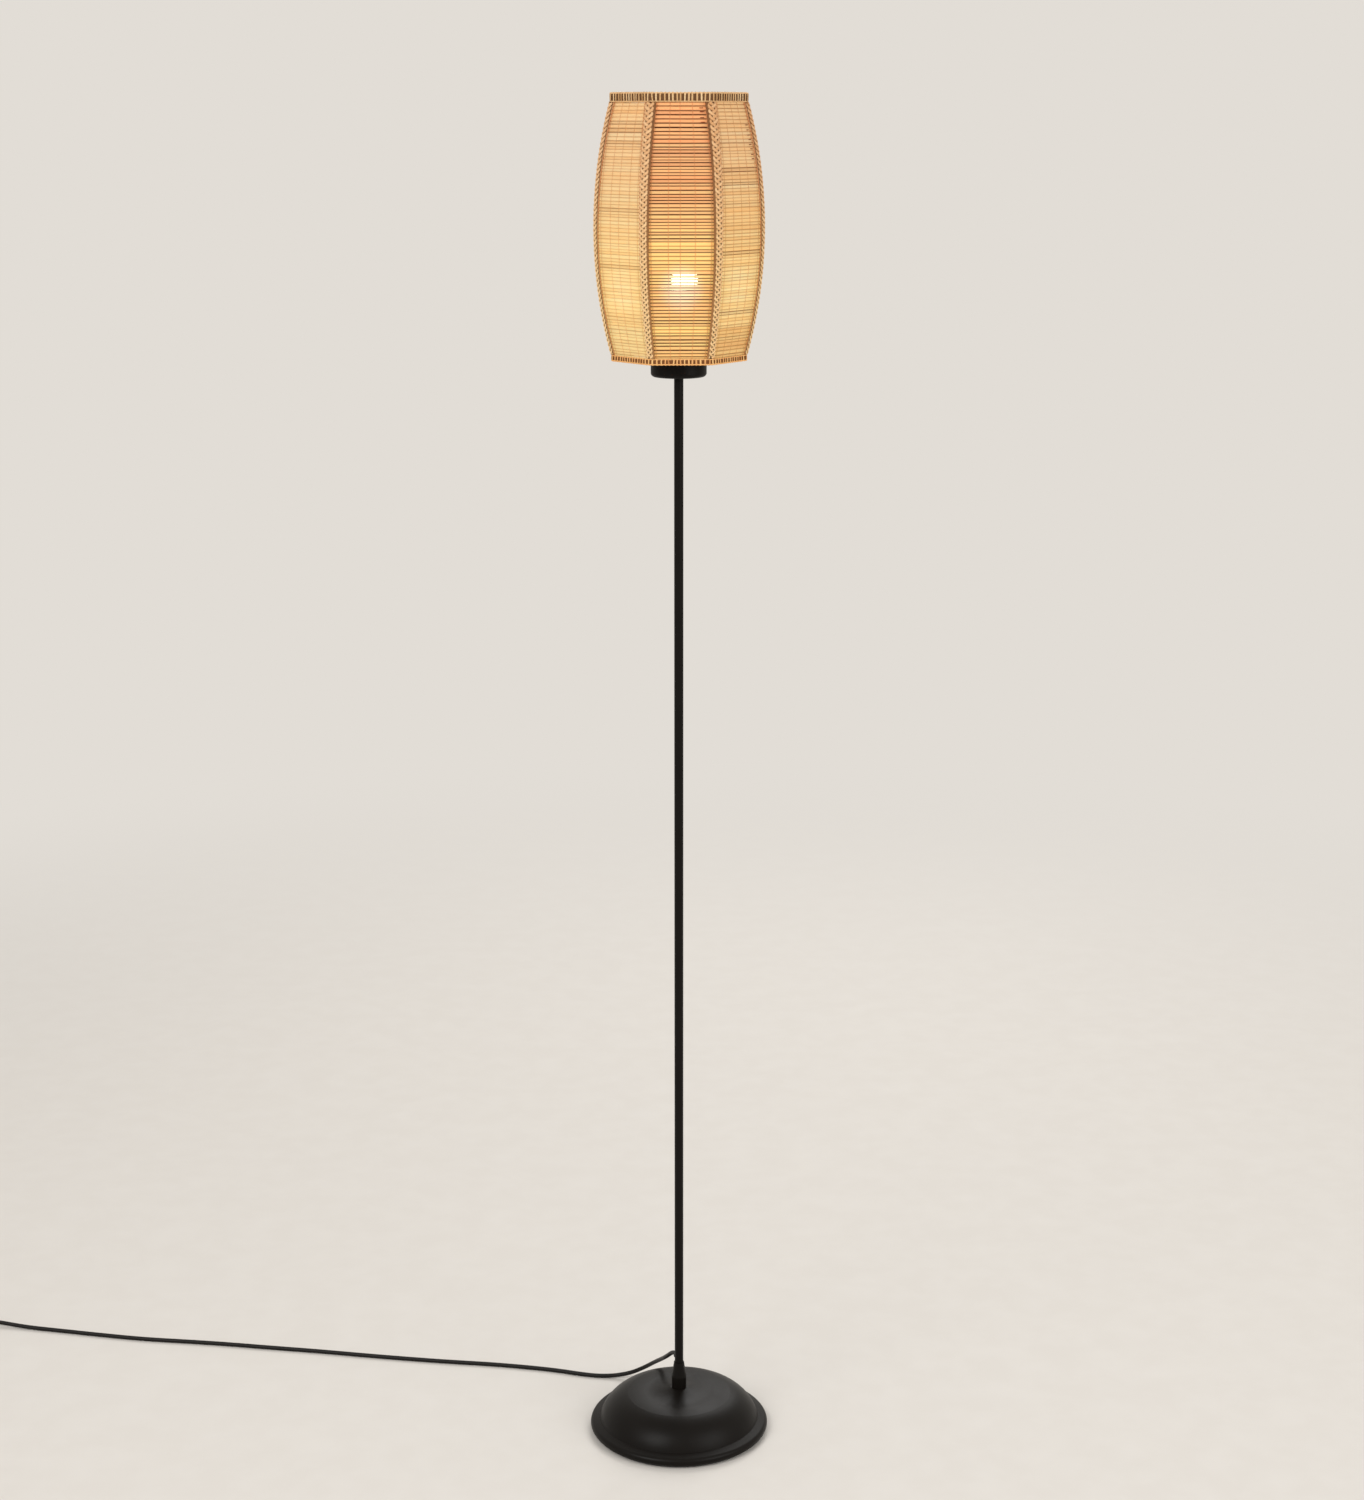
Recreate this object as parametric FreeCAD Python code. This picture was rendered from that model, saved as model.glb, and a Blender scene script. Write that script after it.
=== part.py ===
"""Bamboo shade floor lamp: a slim two-piece pole on a weighted dome, carrying a seven-sided barrel shade.

Millimetres, +Z up, front towards -Y. The origin is on the floor under the middle of the base.
"""
import FreeCAD
import Part
import math
import os

from FreeCAD import Vector

# Fits
SLIP = 0.1  # radial room between pieces that slide together and stay put
BUTT = 0.05  # room between flat pieces laid face to face
RUN = 0.05  # radial room of a turning pivot

# Base
FELT = 2.0
FELT_INSET = 6.0
BASE_RADIUS = 103.5
RIM_UNDERCUT = 4.5
RIM_WIDEST_HEIGHT = 6.0
RIM_SHOULDER = 3.5
RIM_HEIGHT = 12.0
GROOVE_INSET = 11.0
GROOVE_HEIGHT = 14.5
DOME_BULGE = 5.6
CROWN_RADIUS = 60.0
CROWN_HEIGHT = 43.5
BOSS_RADIUS = 41.0
BOSS_HEIGHT = 45.2
HUB_RADIUS = 10.0
HUB_HEIGHT = 50.0
FLARE_DIP = 1.4
SHELL_WALL = 1.5
WEIGHT_GAP = 6.0
WEIGHT_HEIGHT = 14.0
WEIGHT_SKIRT = 9.0
WEIGHT_CHAMFER = 6.0
WEIGHT_CONE = 30.0
NUT_RECESS_RADIUS = 14.0
WASHER_RADIUS = 11.0
WASHER = 2.0
NUT_ACROSS_FLATS = 14.0
NUT_HEIGHT = 6.5
COLLAR_RADIUS = 8.5
COLLAR_TOP_RADIUS = 5.9
COLLAR_GAP = 1.7  # left between the collar and the grommet above it
COLLAR_SHOULDER = 14.0

# Pole
POLE_RADIUS = 5.0
POLE_WALL = 1.0
POLE_FOOT = 4.0
POLE_JOINT = 640.0
JOINER_LENGTH = 50.0
JOINER_WALL = 0.85
STOP_RADIUS = 6.4
STOP_HEIGHT = 1.5
POLE_THREAD = 11.8  # stands up through the dish floor into the holder

# Cord
CORD_RADIUS = 2.5
EXIT_HEIGHT = 88.0
EXIT_ANGLE = 112.0  # seen from above, from +X towards +Y
EXIT_HOLE = 3.2
EXIT_BEND = 4.0
EXIT_RUN = 16.0  # straight out from the pole's axis before the cord bends down
GROMMET_FLANGE = 4.3
GROMMET_LIP = 1.3
CORD_POINTS = [
    (-14.5, 36.0, 70.5),
    (-21.5, 66.0, 51.5),
    (-29.5, 89.0, 36.0),
    (-41.0, 104.5, 21.5),
    (-57.0, 113.5, 9.5),
    (-76.0, 117.0, 3.6),
    (-97.0, 117.5, 2.6),
    (-120.0, 122.5, 2.6),
    (-149.0, 132.0, 2.6),
    (-187.0, 140.5, 2.6),
    (-233.0, 148.5, 2.6),
    (-287.0, 155.0, 2.6),
    (-342.0, 163.5, 2.6),
    (-397.0, 173.0, 2.6),
    (-453.0, 183.5, 2.6),
    (-508.0, 192.0, 2.6),
    (-563.0, 201.5, 2.6),
    (-617.0, 209.0, 2.6),
    (-673.0, 215.5, 2.6),
    (-730.0, 227.0, 2.6),
    (-784.0, 239.0, 2.6),
    (-828.0, 248.0, 2.9),
    (-856.0, 255.0, 4.6),
]
LAST_RUN = 11.0

# Shade dish and lamp holder
DISH_FLOOR = 1228.0
DISH_RADIUS = 29.8
DISH_HEIGHT = 20.0
DISH_CORNER = 4.0
DISH_WALL = 1.2
LOCKNUT_HEIGHT = 4.0
CAP_NECK_RADIUS = 8.5
CAP_RADIUS = 19.0
CAP_WALL = 2.0
CAP_NECK_HEIGHT = 6.5
CAP_HEIGHT = 19.0
CORE_HEIGHT = 10.0
CORE_STEP = 4.0
SKIRT_RADIUS = 19.8
SKIRT_WALL = 1.8
SKIRT_HEIGHT = 38.0
SCREW_SHELL_RADIUS = 13.7
SCREW_SHELL_WALL = 0.5
SCREW_SHELL_HEIGHT = 23.0
CONTACT_WIDTH = 6.0
CONTACT_RISE = 3.0
CONTACT_STRIP = 0.6
TERMINAL_OFFSET = 10.5
TERMINAL_RADIUS = 1.6
TERMINAL_HEAD = 3.0
TERMINAL_HEAD_HEIGHT = 2.2
CABLE_END = 7.0  # from the pole's top to the cable's end inside the holder cap

# Bulb, measured up from its contact
CONTACT_PLAY = 0.3
BUTTON_RADIUS = 4.6
BUTTON_HEIGHT = 2.0
INSULATOR_RADIUS = 11.0
INSULATOR_TIP_RADIUS = 5.6
INSULATOR_TOP = 6.0
THREAD_CREST = 13.1
THREAD_ROOT = 12.3
THREAD_PITCH = 3.63
THREAD_TURNS = 5
THREAD_WALL = 0.6
NECK_RADIUS = 14.2
HOUSING_WALL = 1.5
HOUSING_TOP = 52.0
GLOBE_RADIUS = 25.0
GLOBE_CENTRE = 66.0
GLOBE_WALL = 1.2
BOARD = 1.6
DRIVER_WIDTH = 16.0
DRIVER_HEIGHT = 22.0

# Shade
SIDES = 7
SHADE_TURN = 2.0  # degrees, the front panel's turn to the right
SHADE_HEIGHT = 275.0
SHADE_DROP = 2.0  # how far the shade's lower edge hangs below the dish rim
END_APOTHEM = 64.9
MIDDLE_APOTHEM = 80.9
PANEL = 1.4
TRIM = 1.6
TRIM_WIDTH = 11.0
BINDING = 2.1
TOP_BINDING_HEIGHT = 9.5
BOTTOM_BINDING_HEIGHT = 6.5
BINDING_LIP = 1.6
BINDING_REACH = 6.2
RING_WIRE = 2.0
RING_CORNER = 7.0
RIB_WIRE = 1.5
ARM_WIRE = 1.75
ARM_COUNT = 3
FITTER_WALL = 1.0
FITTER_PLAY = 0.3
FITTER_DEPTH = 7.0
FLANGE = 1.2
FLANGE_WIDTH = 6.0

# Switch in the cord
SWITCH_MIDDLE = Vector(-917.0, 258.5, 0.0)
SWITCH_LENGTH = 62.0
SWITCH_WIDTH = 24.0
SWITCH_FLOOR_GAP = 0.3
SWITCH_AXIS = 6.0  # height of the cord where it goes in, and of the split
SWITCH_TOP = 15.0
SWITCH_WALL = 3.0
SWITCH_PLATE = 2.0
SWITCH_END = 9.0
SWITCH_ROUND = 3.0
ROCKER_LENGTH = 22.0
ROCKER_WIDTH = 14.0
ROCKER_ROOM = 0.7
ROCKER_PIVOT = 10.5
ROCKER_TILT = 8.0
ROCKER_END_RISE = 5.2
ROCKER_MIDDLE_RISE = 3.6
ROCKER_KEEL = 3.5
PIVOT_RADIUS = 1.5
PIVOT_LENGTH = 3.6
SWITCH_SCREW_RADIUS = 1.4
SWITCH_SCREW_HEAD = 2.6
SWITCH_SCREW_HEAD_HEIGHT = 1.5
SWITCH_SCREW_LENGTH = 9.0
STRIP_WIDTH = 5.0
STRIP_LENGTH = 12.0
STRIP_HEIGHT = 1.0

# Coil and plug
COIL_RADIUS = 28.5  # at the middle of the turns
COIL_STEP = 5.6  # between turns, across and up
COIL_TURNS = 2.5  # in each of two layers
COIL_LEAD = 43.0  # from the switch to the coil
COIL_LIFT = 1.3  # the tie passes under the turns
PLUG_LEAD = 9.0
TIE = 0.8
TIE_WIDTH = 8.0
TIE_ROOM = 0.3
RELIEF_LENGTH = 22.0
RELIEF_RADIUS = 5.6
RELIEF_TIP = 3.6
PLUG_LENGTH = 34.0
PLUG_WIDTH = 34.0
PLUG_ROUND = 5.0
PLUG_END_ROUND = 1.5
GRIP_COUNT = 4  # grooves on each side of the plug
GRIP_PITCH = 4.0
GRIP_WIDTH = 1.8
GRIP_DEPTH = 0.9
PLUG_FLOOR_GAP = 0.2
PIN_RADIUS = 2.0
PIN_LENGTH = 19.0
PIN_SPACING = 18.6

# Heights and places that follow from the sizes above
UP = Vector(0, 0, 1)
ORIGIN = Vector(0, 0, 0)
POLE_BORE = POLE_RADIUS - POLE_WALL
SLIP_BORE = POLE_RADIUS + SLIP
EXIT_DIRECTION = Vector(math.cos(math.radians(EXIT_ANGLE)), math.sin(math.radians(EXIT_ANGLE)), 0)
EXIT_FACE = POLE_RADIUS + GROMMET_LIP
COLLAR_TOP = EXIT_HEIGHT - GROMMET_FLANGE - COLLAR_GAP
DISH_RIM = DISH_FLOOR + DISH_HEIGHT
DISH_INSIDE = DISH_FLOOR + DISH_WALL
POLE_TOP = DISH_FLOOR + POLE_THREAD
CAP_FLOOR = DISH_INSIDE + LOCKNUT_HEIGHT
CAP_TOP = CAP_FLOOR + CAP_HEIGHT
CORE_TOP = CAP_TOP + CORE_HEIGHT - CORE_STEP
BULB_TIP = CORE_TOP + CONTACT_RISE + CONTACT_PLAY
SHADE_BOTTOM = DISH_RIM - SHADE_DROP
SHADE_TOP = SHADE_BOTTOM + SHADE_HEIGHT
LOWER_BAND = SHADE_BOTTOM + BOTTOM_BINDING_HEIGHT
UPPER_BAND = SHADE_TOP - TOP_BINDING_HEIGHT
SHADE_MIDDLE = (LOWER_BAND + UPPER_BAND) / 2
HALF_SIDE = math.pi / SIDES
SWITCH_INLET = SWITCH_MIDDLE + Vector(SWITCH_LENGTH / 2, 0, SWITCH_AXIS)
SWITCH_OUTLET = SWITCH_MIDDLE + Vector(-SWITCH_LENGTH / 2, 0, SWITCH_AXIS)


def save(node, *solids):
    """Writes the solids of one node to its STEP file."""
    shape = solids[0] if len(solids) == 1 else Part.makeCompound(list(solids))
    shape.exportStep(f"parts/{node}.step")


def outline(start, *steps):
    """Closed face in the XZ plane. A step is an end point, or a (middle, end) pair for an arc."""
    here = Vector(start[0], 0, start[1])
    first = here
    edges = []
    for step in steps:
        if isinstance(step[0], tuple):
            middle, end = (Vector(p[0], 0, p[1]) for p in step)
            edges.append(Part.Arc(here, middle, end).toShape())
        else:
            end = Vector(step[0], 0, step[1])
            edges.append(Part.LineSegment(here, end).toShape())
        here = end
    if (here - first).Length > 1e-6:
        edges.append(Part.LineSegment(here, first).toShape())
    return Part.Face(Part.Wire(edges))


def turned(start, *steps):
    """Solid of revolution about the pole's axis."""
    return outline(start, *steps).revolve(ORIGIN, UP, 360)


def tube(outside, inside, low, high):
    """Round sleeve about the pole's axis."""
    return turned((inside, low), (outside, low), (outside, high), (inside, high))


def hex_nut(across_flats, bore, low, height):
    """Hexagon nut about the pole's axis."""
    corner = across_flats / 2 / math.cos(math.pi / 6)
    angles = [i * math.pi / 3 for i in range(7)]
    points = [Vector(corner * math.cos(a), corner * math.sin(a), low) for a in angles]
    body = Part.Face(Part.makePolygon(points)).extrude(UP * height)
    return body.cut(Part.makeCylinder(bore, height, Vector(0, 0, low)))


def block(length, width, low, high, middle=ORIGIN):
    """Upright box centred on a point in plan."""
    corner = Vector(middle.x - length / 2, middle.y - width / 2, low)
    return Part.makeBox(length, width, high - low, corner)


def quarter_arc(centre, radius, angle):
    """Point on a circle in the XZ plane, with the angle in degrees from +X."""
    turn = math.radians(angle)
    return (centre[0] + radius * math.cos(turn), centre[1] + radius * math.sin(turn))


def arc_between(start, tangent, end):
    """Edge that leaves start along tangent and ends at end: an arc, or a line where they agree."""
    chord = end - start
    along = Vector(chord).normalize()
    aside = tangent - along * tangent.dot(along)
    if aside.Length < 1e-6:
        return Part.LineSegment(start, end).toShape()
    half_turn = math.atan2(aside.Length, tangent.dot(along))
    middle = (start + end) * 0.5 + aside.normalize() * (chord.Length / 2 * math.tan(half_turn / 2))
    return Part.Arc(start, middle, end).toShape()


def biarc(start, leaving, end, arriving):
    """Two arcs that share a tangent where they meet."""
    span = end - start
    both = leaving + arriving
    spread = 2 * (1 - leaving.dot(arriving))
    if spread < 1e-9:
        reach = span.dot(span) / (4 * span.dot(arriving))
    else:
        reach = (-span.dot(both) + math.sqrt(span.dot(both) ** 2 + spread * span.dot(span))) / spread
    meeting = (start + end + (leaving - arriving) * reach) * 0.5
    back = arc_between(end, arriving * -1, meeting)
    return [arc_between(start, leaving, meeting), back]


def round_cord(edges, start, heading):
    """Solid round cord along joined edges."""
    circle = Part.Wire(Part.Circle(start, heading, CORD_RADIUS).toShape())
    path = Part.Wire(Part.sortEdges(edges)[0])
    return path.makePipeShell([circle], True, False), path


def laid_cord(points):
    """Cord along straight runs with an arc at each point, as large as the two runs allow."""
    edges = []
    radii = []
    here = points[0]
    for before, corner, after in zip(points, points[1:], points[2:]):
        coming = (corner - before).normalize()
        going = (after - corner).normalize()
        turn = coming.getAngle(going)
        reach = 0.45 * min((corner - before).Length, (after - corner).Length)
        radius = reach / math.tan(turn / 2)
        radii.append(radius)
        enter = corner - coming * reach
        leave = corner + going * reach
        inward = (going - coming).normalize()
        middle = corner + inward * (radius / math.cos(turn / 2) - radius)
        edges.append(Part.LineSegment(here, enter).toShape())
        edges.append(Part.Arc(enter, middle, leave).toShape())
        here = leave
    edges.append(Part.LineSegment(here, points[-1]).toShape())
    solid, path = round_cord(edges, points[0], points[1] - points[0])
    print("cord radii", [round(r, 1) for r in radii])
    print("cord length", round(path.Length, 1), "volume ratio", round(solid.Volume / tube_volume(path), 4))
    return solid


def tube_volume(path):
    """Section times length of a cord."""
    return math.pi * CORD_RADIUS**2 * path.Length


def base_outline(shift):
    """Steps of the dome's outer line from the rim's shoulder to the hub, moved in and down by shift."""
    groove = (BASE_RADIUS - GROOVE_INSET, GROOVE_HEIGHT)
    crown = (CROWN_RADIUS, CROWN_HEIGHT)
    boss = (BOSS_RADIUS, BOSS_HEIGHT)
    hub = (HUB_RADIUS, HUB_HEIGHT)

    def bulged(a, b, amount):
        """Point beside the middle of a-b, pushed up and outwards, or in and down if negative."""
        run, rise = b[0] - a[0], b[1] - a[1]
        length = math.hypot(run, rise)
        return ((a[0] + b[0]) / 2 + amount * rise / length, (a[1] + b[1]) / 2 - amount * run / length)

    steps = [
        (BASE_RADIUS - RIM_SHOULDER, RIM_HEIGHT),
        groove,
        (bulged(groove, crown, DOME_BULGE), crown),
        (bulged(crown, boss, FLARE_DIP / 4), boss),
        (bulged(boss, hub, -FLARE_DIP), hub),
    ]

    def moved(item):
        """The same step, in and down."""
        if isinstance(item[0], tuple):
            return tuple(moved(p) for p in item)
        return (item[0] - shift, item[1] - shift)

    return [moved(step) for step in steps]


def reversed_steps(steps):
    """Steps that run the other way along the same line, from its last point to its first."""
    ends = [step[1] if isinstance(step[0], tuple) else step for step in steps]
    back = []
    for index in range(len(steps) - 1, 0, -1):
        step = steps[index]
        back.append((step[0], ends[index - 1]) if isinstance(step[0], tuple) else ends[index - 1])
    return back


def build_base():
    """Spun steel dome over an iron weight, clamped between the collar above and the nut below."""
    outer = base_outline(0)
    inner = base_outline(SHELL_WALL)
    foot = BASE_RADIUS - RIM_UNDERCUT
    shell = turned(
        (foot, FELT),
        ((BASE_RADIUS, RIM_WIDEST_HEIGHT), outer[0]),
        *outer[1:],
        (SLIP_BORE, HUB_HEIGHT),
        (SLIP_BORE, HUB_HEIGHT - SHELL_WALL),
        (HUB_RADIUS - SHELL_WALL, HUB_HEIGHT - SHELL_WALL),
        *reversed_steps(inner),
        (foot - SHELL_WALL, FELT),
    )
    save("base_shell", shell)

    weight_radius = BASE_RADIUS - GROOVE_INSET - WEIGHT_GAP
    weight = turned(
        (NUT_RECESS_RADIUS, FELT),
        (weight_radius, FELT),
        (weight_radius, WEIGHT_SKIRT),
        (weight_radius - WEIGHT_CHAMFER, WEIGHT_HEIGHT),
        (WEIGHT_CONE, WEIGHT_HEIGHT),
        (HUB_RADIUS - SHELL_WALL, HUB_HEIGHT - SHELL_WALL),
        (SLIP_BORE, HUB_HEIGHT - SHELL_WALL),
        (SLIP_BORE, WEIGHT_HEIGHT),
        (NUT_RECESS_RADIUS, WEIGHT_HEIGHT),
    )
    save("base_weight", weight)
    save("base_felt", tube(BASE_RADIUS - FELT_INSET, NUT_RECESS_RADIUS, 0, FELT))

    washer_low = WEIGHT_HEIGHT - WASHER
    save("base_washer", tube(WASHER_RADIUS, SLIP_BORE, washer_low, WEIGHT_HEIGHT))
    save("base_nut", hex_nut(NUT_ACROSS_FLATS, SLIP_BORE, washer_low - NUT_HEIGHT, NUT_HEIGHT))

    collar = turned(
        (SLIP_BORE, HUB_HEIGHT),
        (COLLAR_RADIUS, HUB_HEIGHT),
        (COLLAR_RADIUS, HUB_HEIGHT + COLLAR_SHOULDER),
        (COLLAR_TOP_RADIUS, COLLAR_TOP),
        (SLIP_BORE, COLLAR_TOP),
    )
    save("foot_collar", collar)


def build_pole():
    """Two steel tubes on an inner sleeve, with the cord's hole low in the back of the lower one."""
    exit_point = Vector(0, 0, EXIT_HEIGHT)
    hole = Part.makeCylinder(EXIT_HOLE, 2 * POLE_RADIUS, exit_point, EXIT_DIRECTION)
    save("pole_lower", tube(POLE_RADIUS, POLE_BORE, POLE_FOOT, POLE_JOINT).cut(hole))

    upper = turned(
        (POLE_BORE, POLE_JOINT),
        (POLE_RADIUS, POLE_JOINT),
        (POLE_RADIUS, DISH_FLOOR - STOP_HEIGHT),
        (STOP_RADIUS, DISH_FLOOR - STOP_HEIGHT),
        (STOP_RADIUS, DISH_FLOOR),
        (POLE_RADIUS, DISH_FLOOR),
        (POLE_RADIUS, POLE_TOP),
        (POLE_BORE, POLE_TOP),
    )
    save("pole_upper", upper)

    sleeve_radius = POLE_BORE - BUTT
    half = JOINER_LENGTH / 2
    sleeve = tube(sleeve_radius, sleeve_radius - JOINER_WALL, POLE_JOINT - half, POLE_JOINT + half)
    save("pole_joiner", sleeve)

    flange = Part.makeCylinder(GROMMET_FLANGE, EXIT_FACE, exit_point, EXIT_DIRECTION)
    pole_foot = Vector(0, 0, EXIT_HEIGHT - 2 * GROMMET_FLANGE)
    flange = flange.cut(Part.makeCylinder(POLE_RADIUS, 4 * GROMMET_FLANGE, pole_foot))
    bush_start = exit_point + EXIT_DIRECTION * POLE_BORE
    bush = Part.makeCylinder(EXIT_HOLE - SLIP, EXIT_FACE - POLE_BORE, bush_start, EXIT_DIRECTION)
    bore = Part.makeCylinder(CORD_RADIUS + SLIP, 2 * EXIT_FACE, exit_point, EXIT_DIRECTION)
    save("cord_grommet", flange.fuse(bush).cut(bore))

    top = Vector(0, 0, POLE_TOP + CABLE_END)
    bend_start = Vector(0, 0, EXIT_HEIGHT + EXIT_BEND)
    bend_end = exit_point + EXIT_DIRECTION * EXIT_BEND
    edges = [
        Part.LineSegment(top, bend_start).toShape(),
        arc_between(bend_start, UP * -1, bend_end),
        Part.LineSegment(bend_end, exit_point + EXIT_DIRECTION * EXIT_FACE).toShape(),
    ]
    save("inner_cable", round_cord(edges, top, UP)[0])


def build_dish():
    """Spun steel dish held on the pole's end by a locknut."""
    corner = (DISH_RADIUS - DISH_CORNER, DISH_FLOOR + DISH_CORNER)
    inside = DISH_CORNER - DISH_WALL
    dish = turned(
        (SLIP_BORE, DISH_FLOOR),
        (corner[0], DISH_FLOOR),
        (quarter_arc(corner, DISH_CORNER, -45), (DISH_RADIUS, corner[1])),
        (DISH_RADIUS, DISH_RIM),
        (DISH_RADIUS - DISH_WALL, DISH_RIM),
        (DISH_RADIUS - DISH_WALL, corner[1]),
        (quarter_arc(corner, inside, -45), (corner[0], DISH_INSIDE)),
        (SLIP_BORE, DISH_INSIDE),
    )
    save("shade_dish", dish)
    save("dish_locknut", hex_nut(NUT_ACROSS_FLATS, SLIP_BORE, DISH_INSIDE, LOCKNUT_HEIGHT))


def build_holder():
    """Screw lamp holder: cap on the pole's thread, ceramic core with the contacts, and outer skirt."""
    ledge = CAP_TOP - CORE_STEP
    chamber_floor = CAP_FLOOR + CAP_NECK_HEIGHT
    inside = CAP_RADIUS - CAP_WALL
    cap = turned(
        (SLIP_BORE, CAP_FLOOR),
        (CAP_NECK_RADIUS, CAP_FLOOR),
        (CAP_NECK_RADIUS, CAP_FLOOR + CAP_NECK_HEIGHT / 2),
        (CAP_RADIUS, chamber_floor + CAP_NECK_HEIGHT / 2),
        (CAP_RADIUS, CAP_TOP),
        (inside, CAP_TOP),
        (inside, ledge),
        (inside - CAP_WALL, ledge),
        (inside - CAP_WALL, chamber_floor + CAP_NECK_HEIGHT / 2),
        (CAP_NECK_RADIUS, chamber_floor),
        (SLIP_BORE, chamber_floor),
    )
    save("holder_cap", cap)

    screws = [Vector(side * TERMINAL_OFFSET, 0, ledge) for side in (-1, 1)]
    core = Part.makeCylinder(inside - SLIP, CORE_TOP - ledge, Vector(0, 0, ledge))
    for place in screws:
        core = core.cut(Part.makeCylinder(TERMINAL_RADIUS + SLIP, CORE_TOP - ledge, place))
    save("holder_core", core)

    skirt_inside = SKIRT_RADIUS - SKIRT_WALL
    skirt_top = CAP_TOP + SKIRT_HEIGHT
    rounding = SKIRT_WALL / 2
    skirt = turned(
        (skirt_inside, CAP_TOP),
        (SKIRT_RADIUS, CAP_TOP),
        (SKIRT_RADIUS, skirt_top - rounding),
        ((SKIRT_RADIUS - rounding, skirt_top), (skirt_inside, skirt_top - rounding)),
    )
    save("holder_skirt", skirt)

    shell_outside = SCREW_SHELL_RADIUS + SCREW_SHELL_WALL
    screw_shell = turned(
        (SCREW_SHELL_RADIUS, CORE_TOP),
        (inside - SLIP, CORE_TOP),
        (inside - SLIP, CORE_TOP + SCREW_SHELL_WALL),
        (shell_outside, CORE_TOP + SCREW_SHELL_WALL),
        (shell_outside, CORE_TOP + SCREW_SHELL_HEIGHT),
        (SCREW_SHELL_RADIUS, CORE_TOP + SCREW_SHELL_HEIGHT),
    )
    save("screw_shell", screw_shell)

    reach = SCREW_SHELL_RADIUS - 2 * CONTACT_STRIP - TERMINAL_HEAD
    tongue = outline(
        (-reach, CORE_TOP),
        (-reach / 2, CORE_TOP),
        (-reach / 4, CORE_TOP + CONTACT_RISE - CONTACT_STRIP),
        (reach / 2, CORE_TOP + CONTACT_RISE - CONTACT_STRIP),
        (reach / 2, CORE_TOP + CONTACT_RISE),
        (-reach / 4 - CONTACT_STRIP, CORE_TOP + CONTACT_RISE),
        (-reach / 2 - CONTACT_STRIP, CORE_TOP + CONTACT_STRIP),
        (-reach, CORE_TOP + CONTACT_STRIP),
    )
    tongue = tongue.extrude(Vector(0, CONTACT_WIDTH, 0))
    tongue.translate(Vector(0, -CONTACT_WIDTH / 2, 0))
    save("centre_contact", tongue)

    terminals = []
    for place in screws:
        shank = Part.makeCylinder(TERMINAL_RADIUS, CORE_TOP - ledge - BUTT, place)
        head = Part.makeCylinder(TERMINAL_HEAD, TERMINAL_HEAD_HEIGHT, place - UP * TERMINAL_HEAD_HEIGHT)
        terminals.append(shank.fuse(head))
    save("terminal_screws", *terminals)


def build_bulb():
    """Screw-in lamp: contact button, black insulator, threaded cap, housing, light board and globe."""
    tip = BULB_TIP
    button_curve = ((BUTTON_RADIUS * 0.7, tip + BUTTON_HEIGHT * 0.3), (BUTTON_RADIUS, tip + BUTTON_HEIGHT))
    save("bulb_contact", turned((0, tip), button_curve, (0, tip + BUTTON_HEIGHT)))

    insulator = turned(
        (0, tip + BUTTON_HEIGHT),
        (INSULATOR_TIP_RADIUS, tip + BUTTON_HEIGHT),
        (INSULATOR_RADIUS, tip + INSULATOR_TOP),
        (0, tip + INSULATOR_TOP),
    )
    save("bulb_insulator", insulator)

    low = tip + INSULATOR_TOP
    inside = THREAD_ROOT - THREAD_WALL
    steps = []
    for turn in range(THREAD_TURNS):
        foot = low + turn * THREAD_PITCH
        crest = (THREAD_CREST, foot + THREAD_PITCH / 2)
        steps.append((crest, (THREAD_ROOT, foot + THREAD_PITCH)))
    cap_top = low + THREAD_TURNS * THREAD_PITCH
    cap = turned((inside, low), (THREAD_ROOT, low), *steps, (inside, cap_top))
    save("bulb_cap", cap)

    housing_top = tip + HOUSING_TOP
    globe_centre = tip + GLOBE_CENTRE
    rim = math.sqrt(GLOBE_RADIUS**2 - (GLOBE_CENTRE - HOUSING_TOP) ** 2)
    plug_depth = THREAD_PITCH
    housing = turned(
        (inside - HOUSING_WALL, cap_top - plug_depth),
        (inside - BUTT, cap_top - plug_depth),
        (inside - BUTT, cap_top + BUTT),
        (NECK_RADIUS, cap_top + BUTT),
        (rim, housing_top),
        (rim - HOUSING_WALL, housing_top),
        (rim - HOUSING_WALL, housing_top - BOARD),
        (rim - 2 * HOUSING_WALL, housing_top - BOARD),
        (inside - HOUSING_WALL, cap_top + HOUSING_WALL),
    )
    save("bulb_housing", housing)

    board_radius = rim - HOUSING_WALL - SLIP
    save("bulb_light_board", Part.makeCylinder(board_radius, BOARD, Vector(0, 0, housing_top - BOARD)))

    driver_top = housing_top - BOARD
    driver = block(DRIVER_WIDTH, BOARD, driver_top - DRIVER_HEIGHT, driver_top)
    save("bulb_driver_board", driver)

    inner = GLOBE_RADIUS - GLOBE_WALL
    inner_rim = math.sqrt(inner**2 - (GLOBE_CENTRE - HOUSING_TOP) ** 2)
    centre = (0, globe_centre)
    globe = turned(
        (inner_rim, housing_top),
        (rim, housing_top),
        (quarter_arc(centre, GLOBE_RADIUS, 20), (0, globe_centre + GLOBE_RADIUS)),
        (0, globe_centre + inner),
        (quarter_arc(centre, inner, 20), (inner_rim, housing_top)),
    )
    save("bulb_globe", globe)


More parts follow.
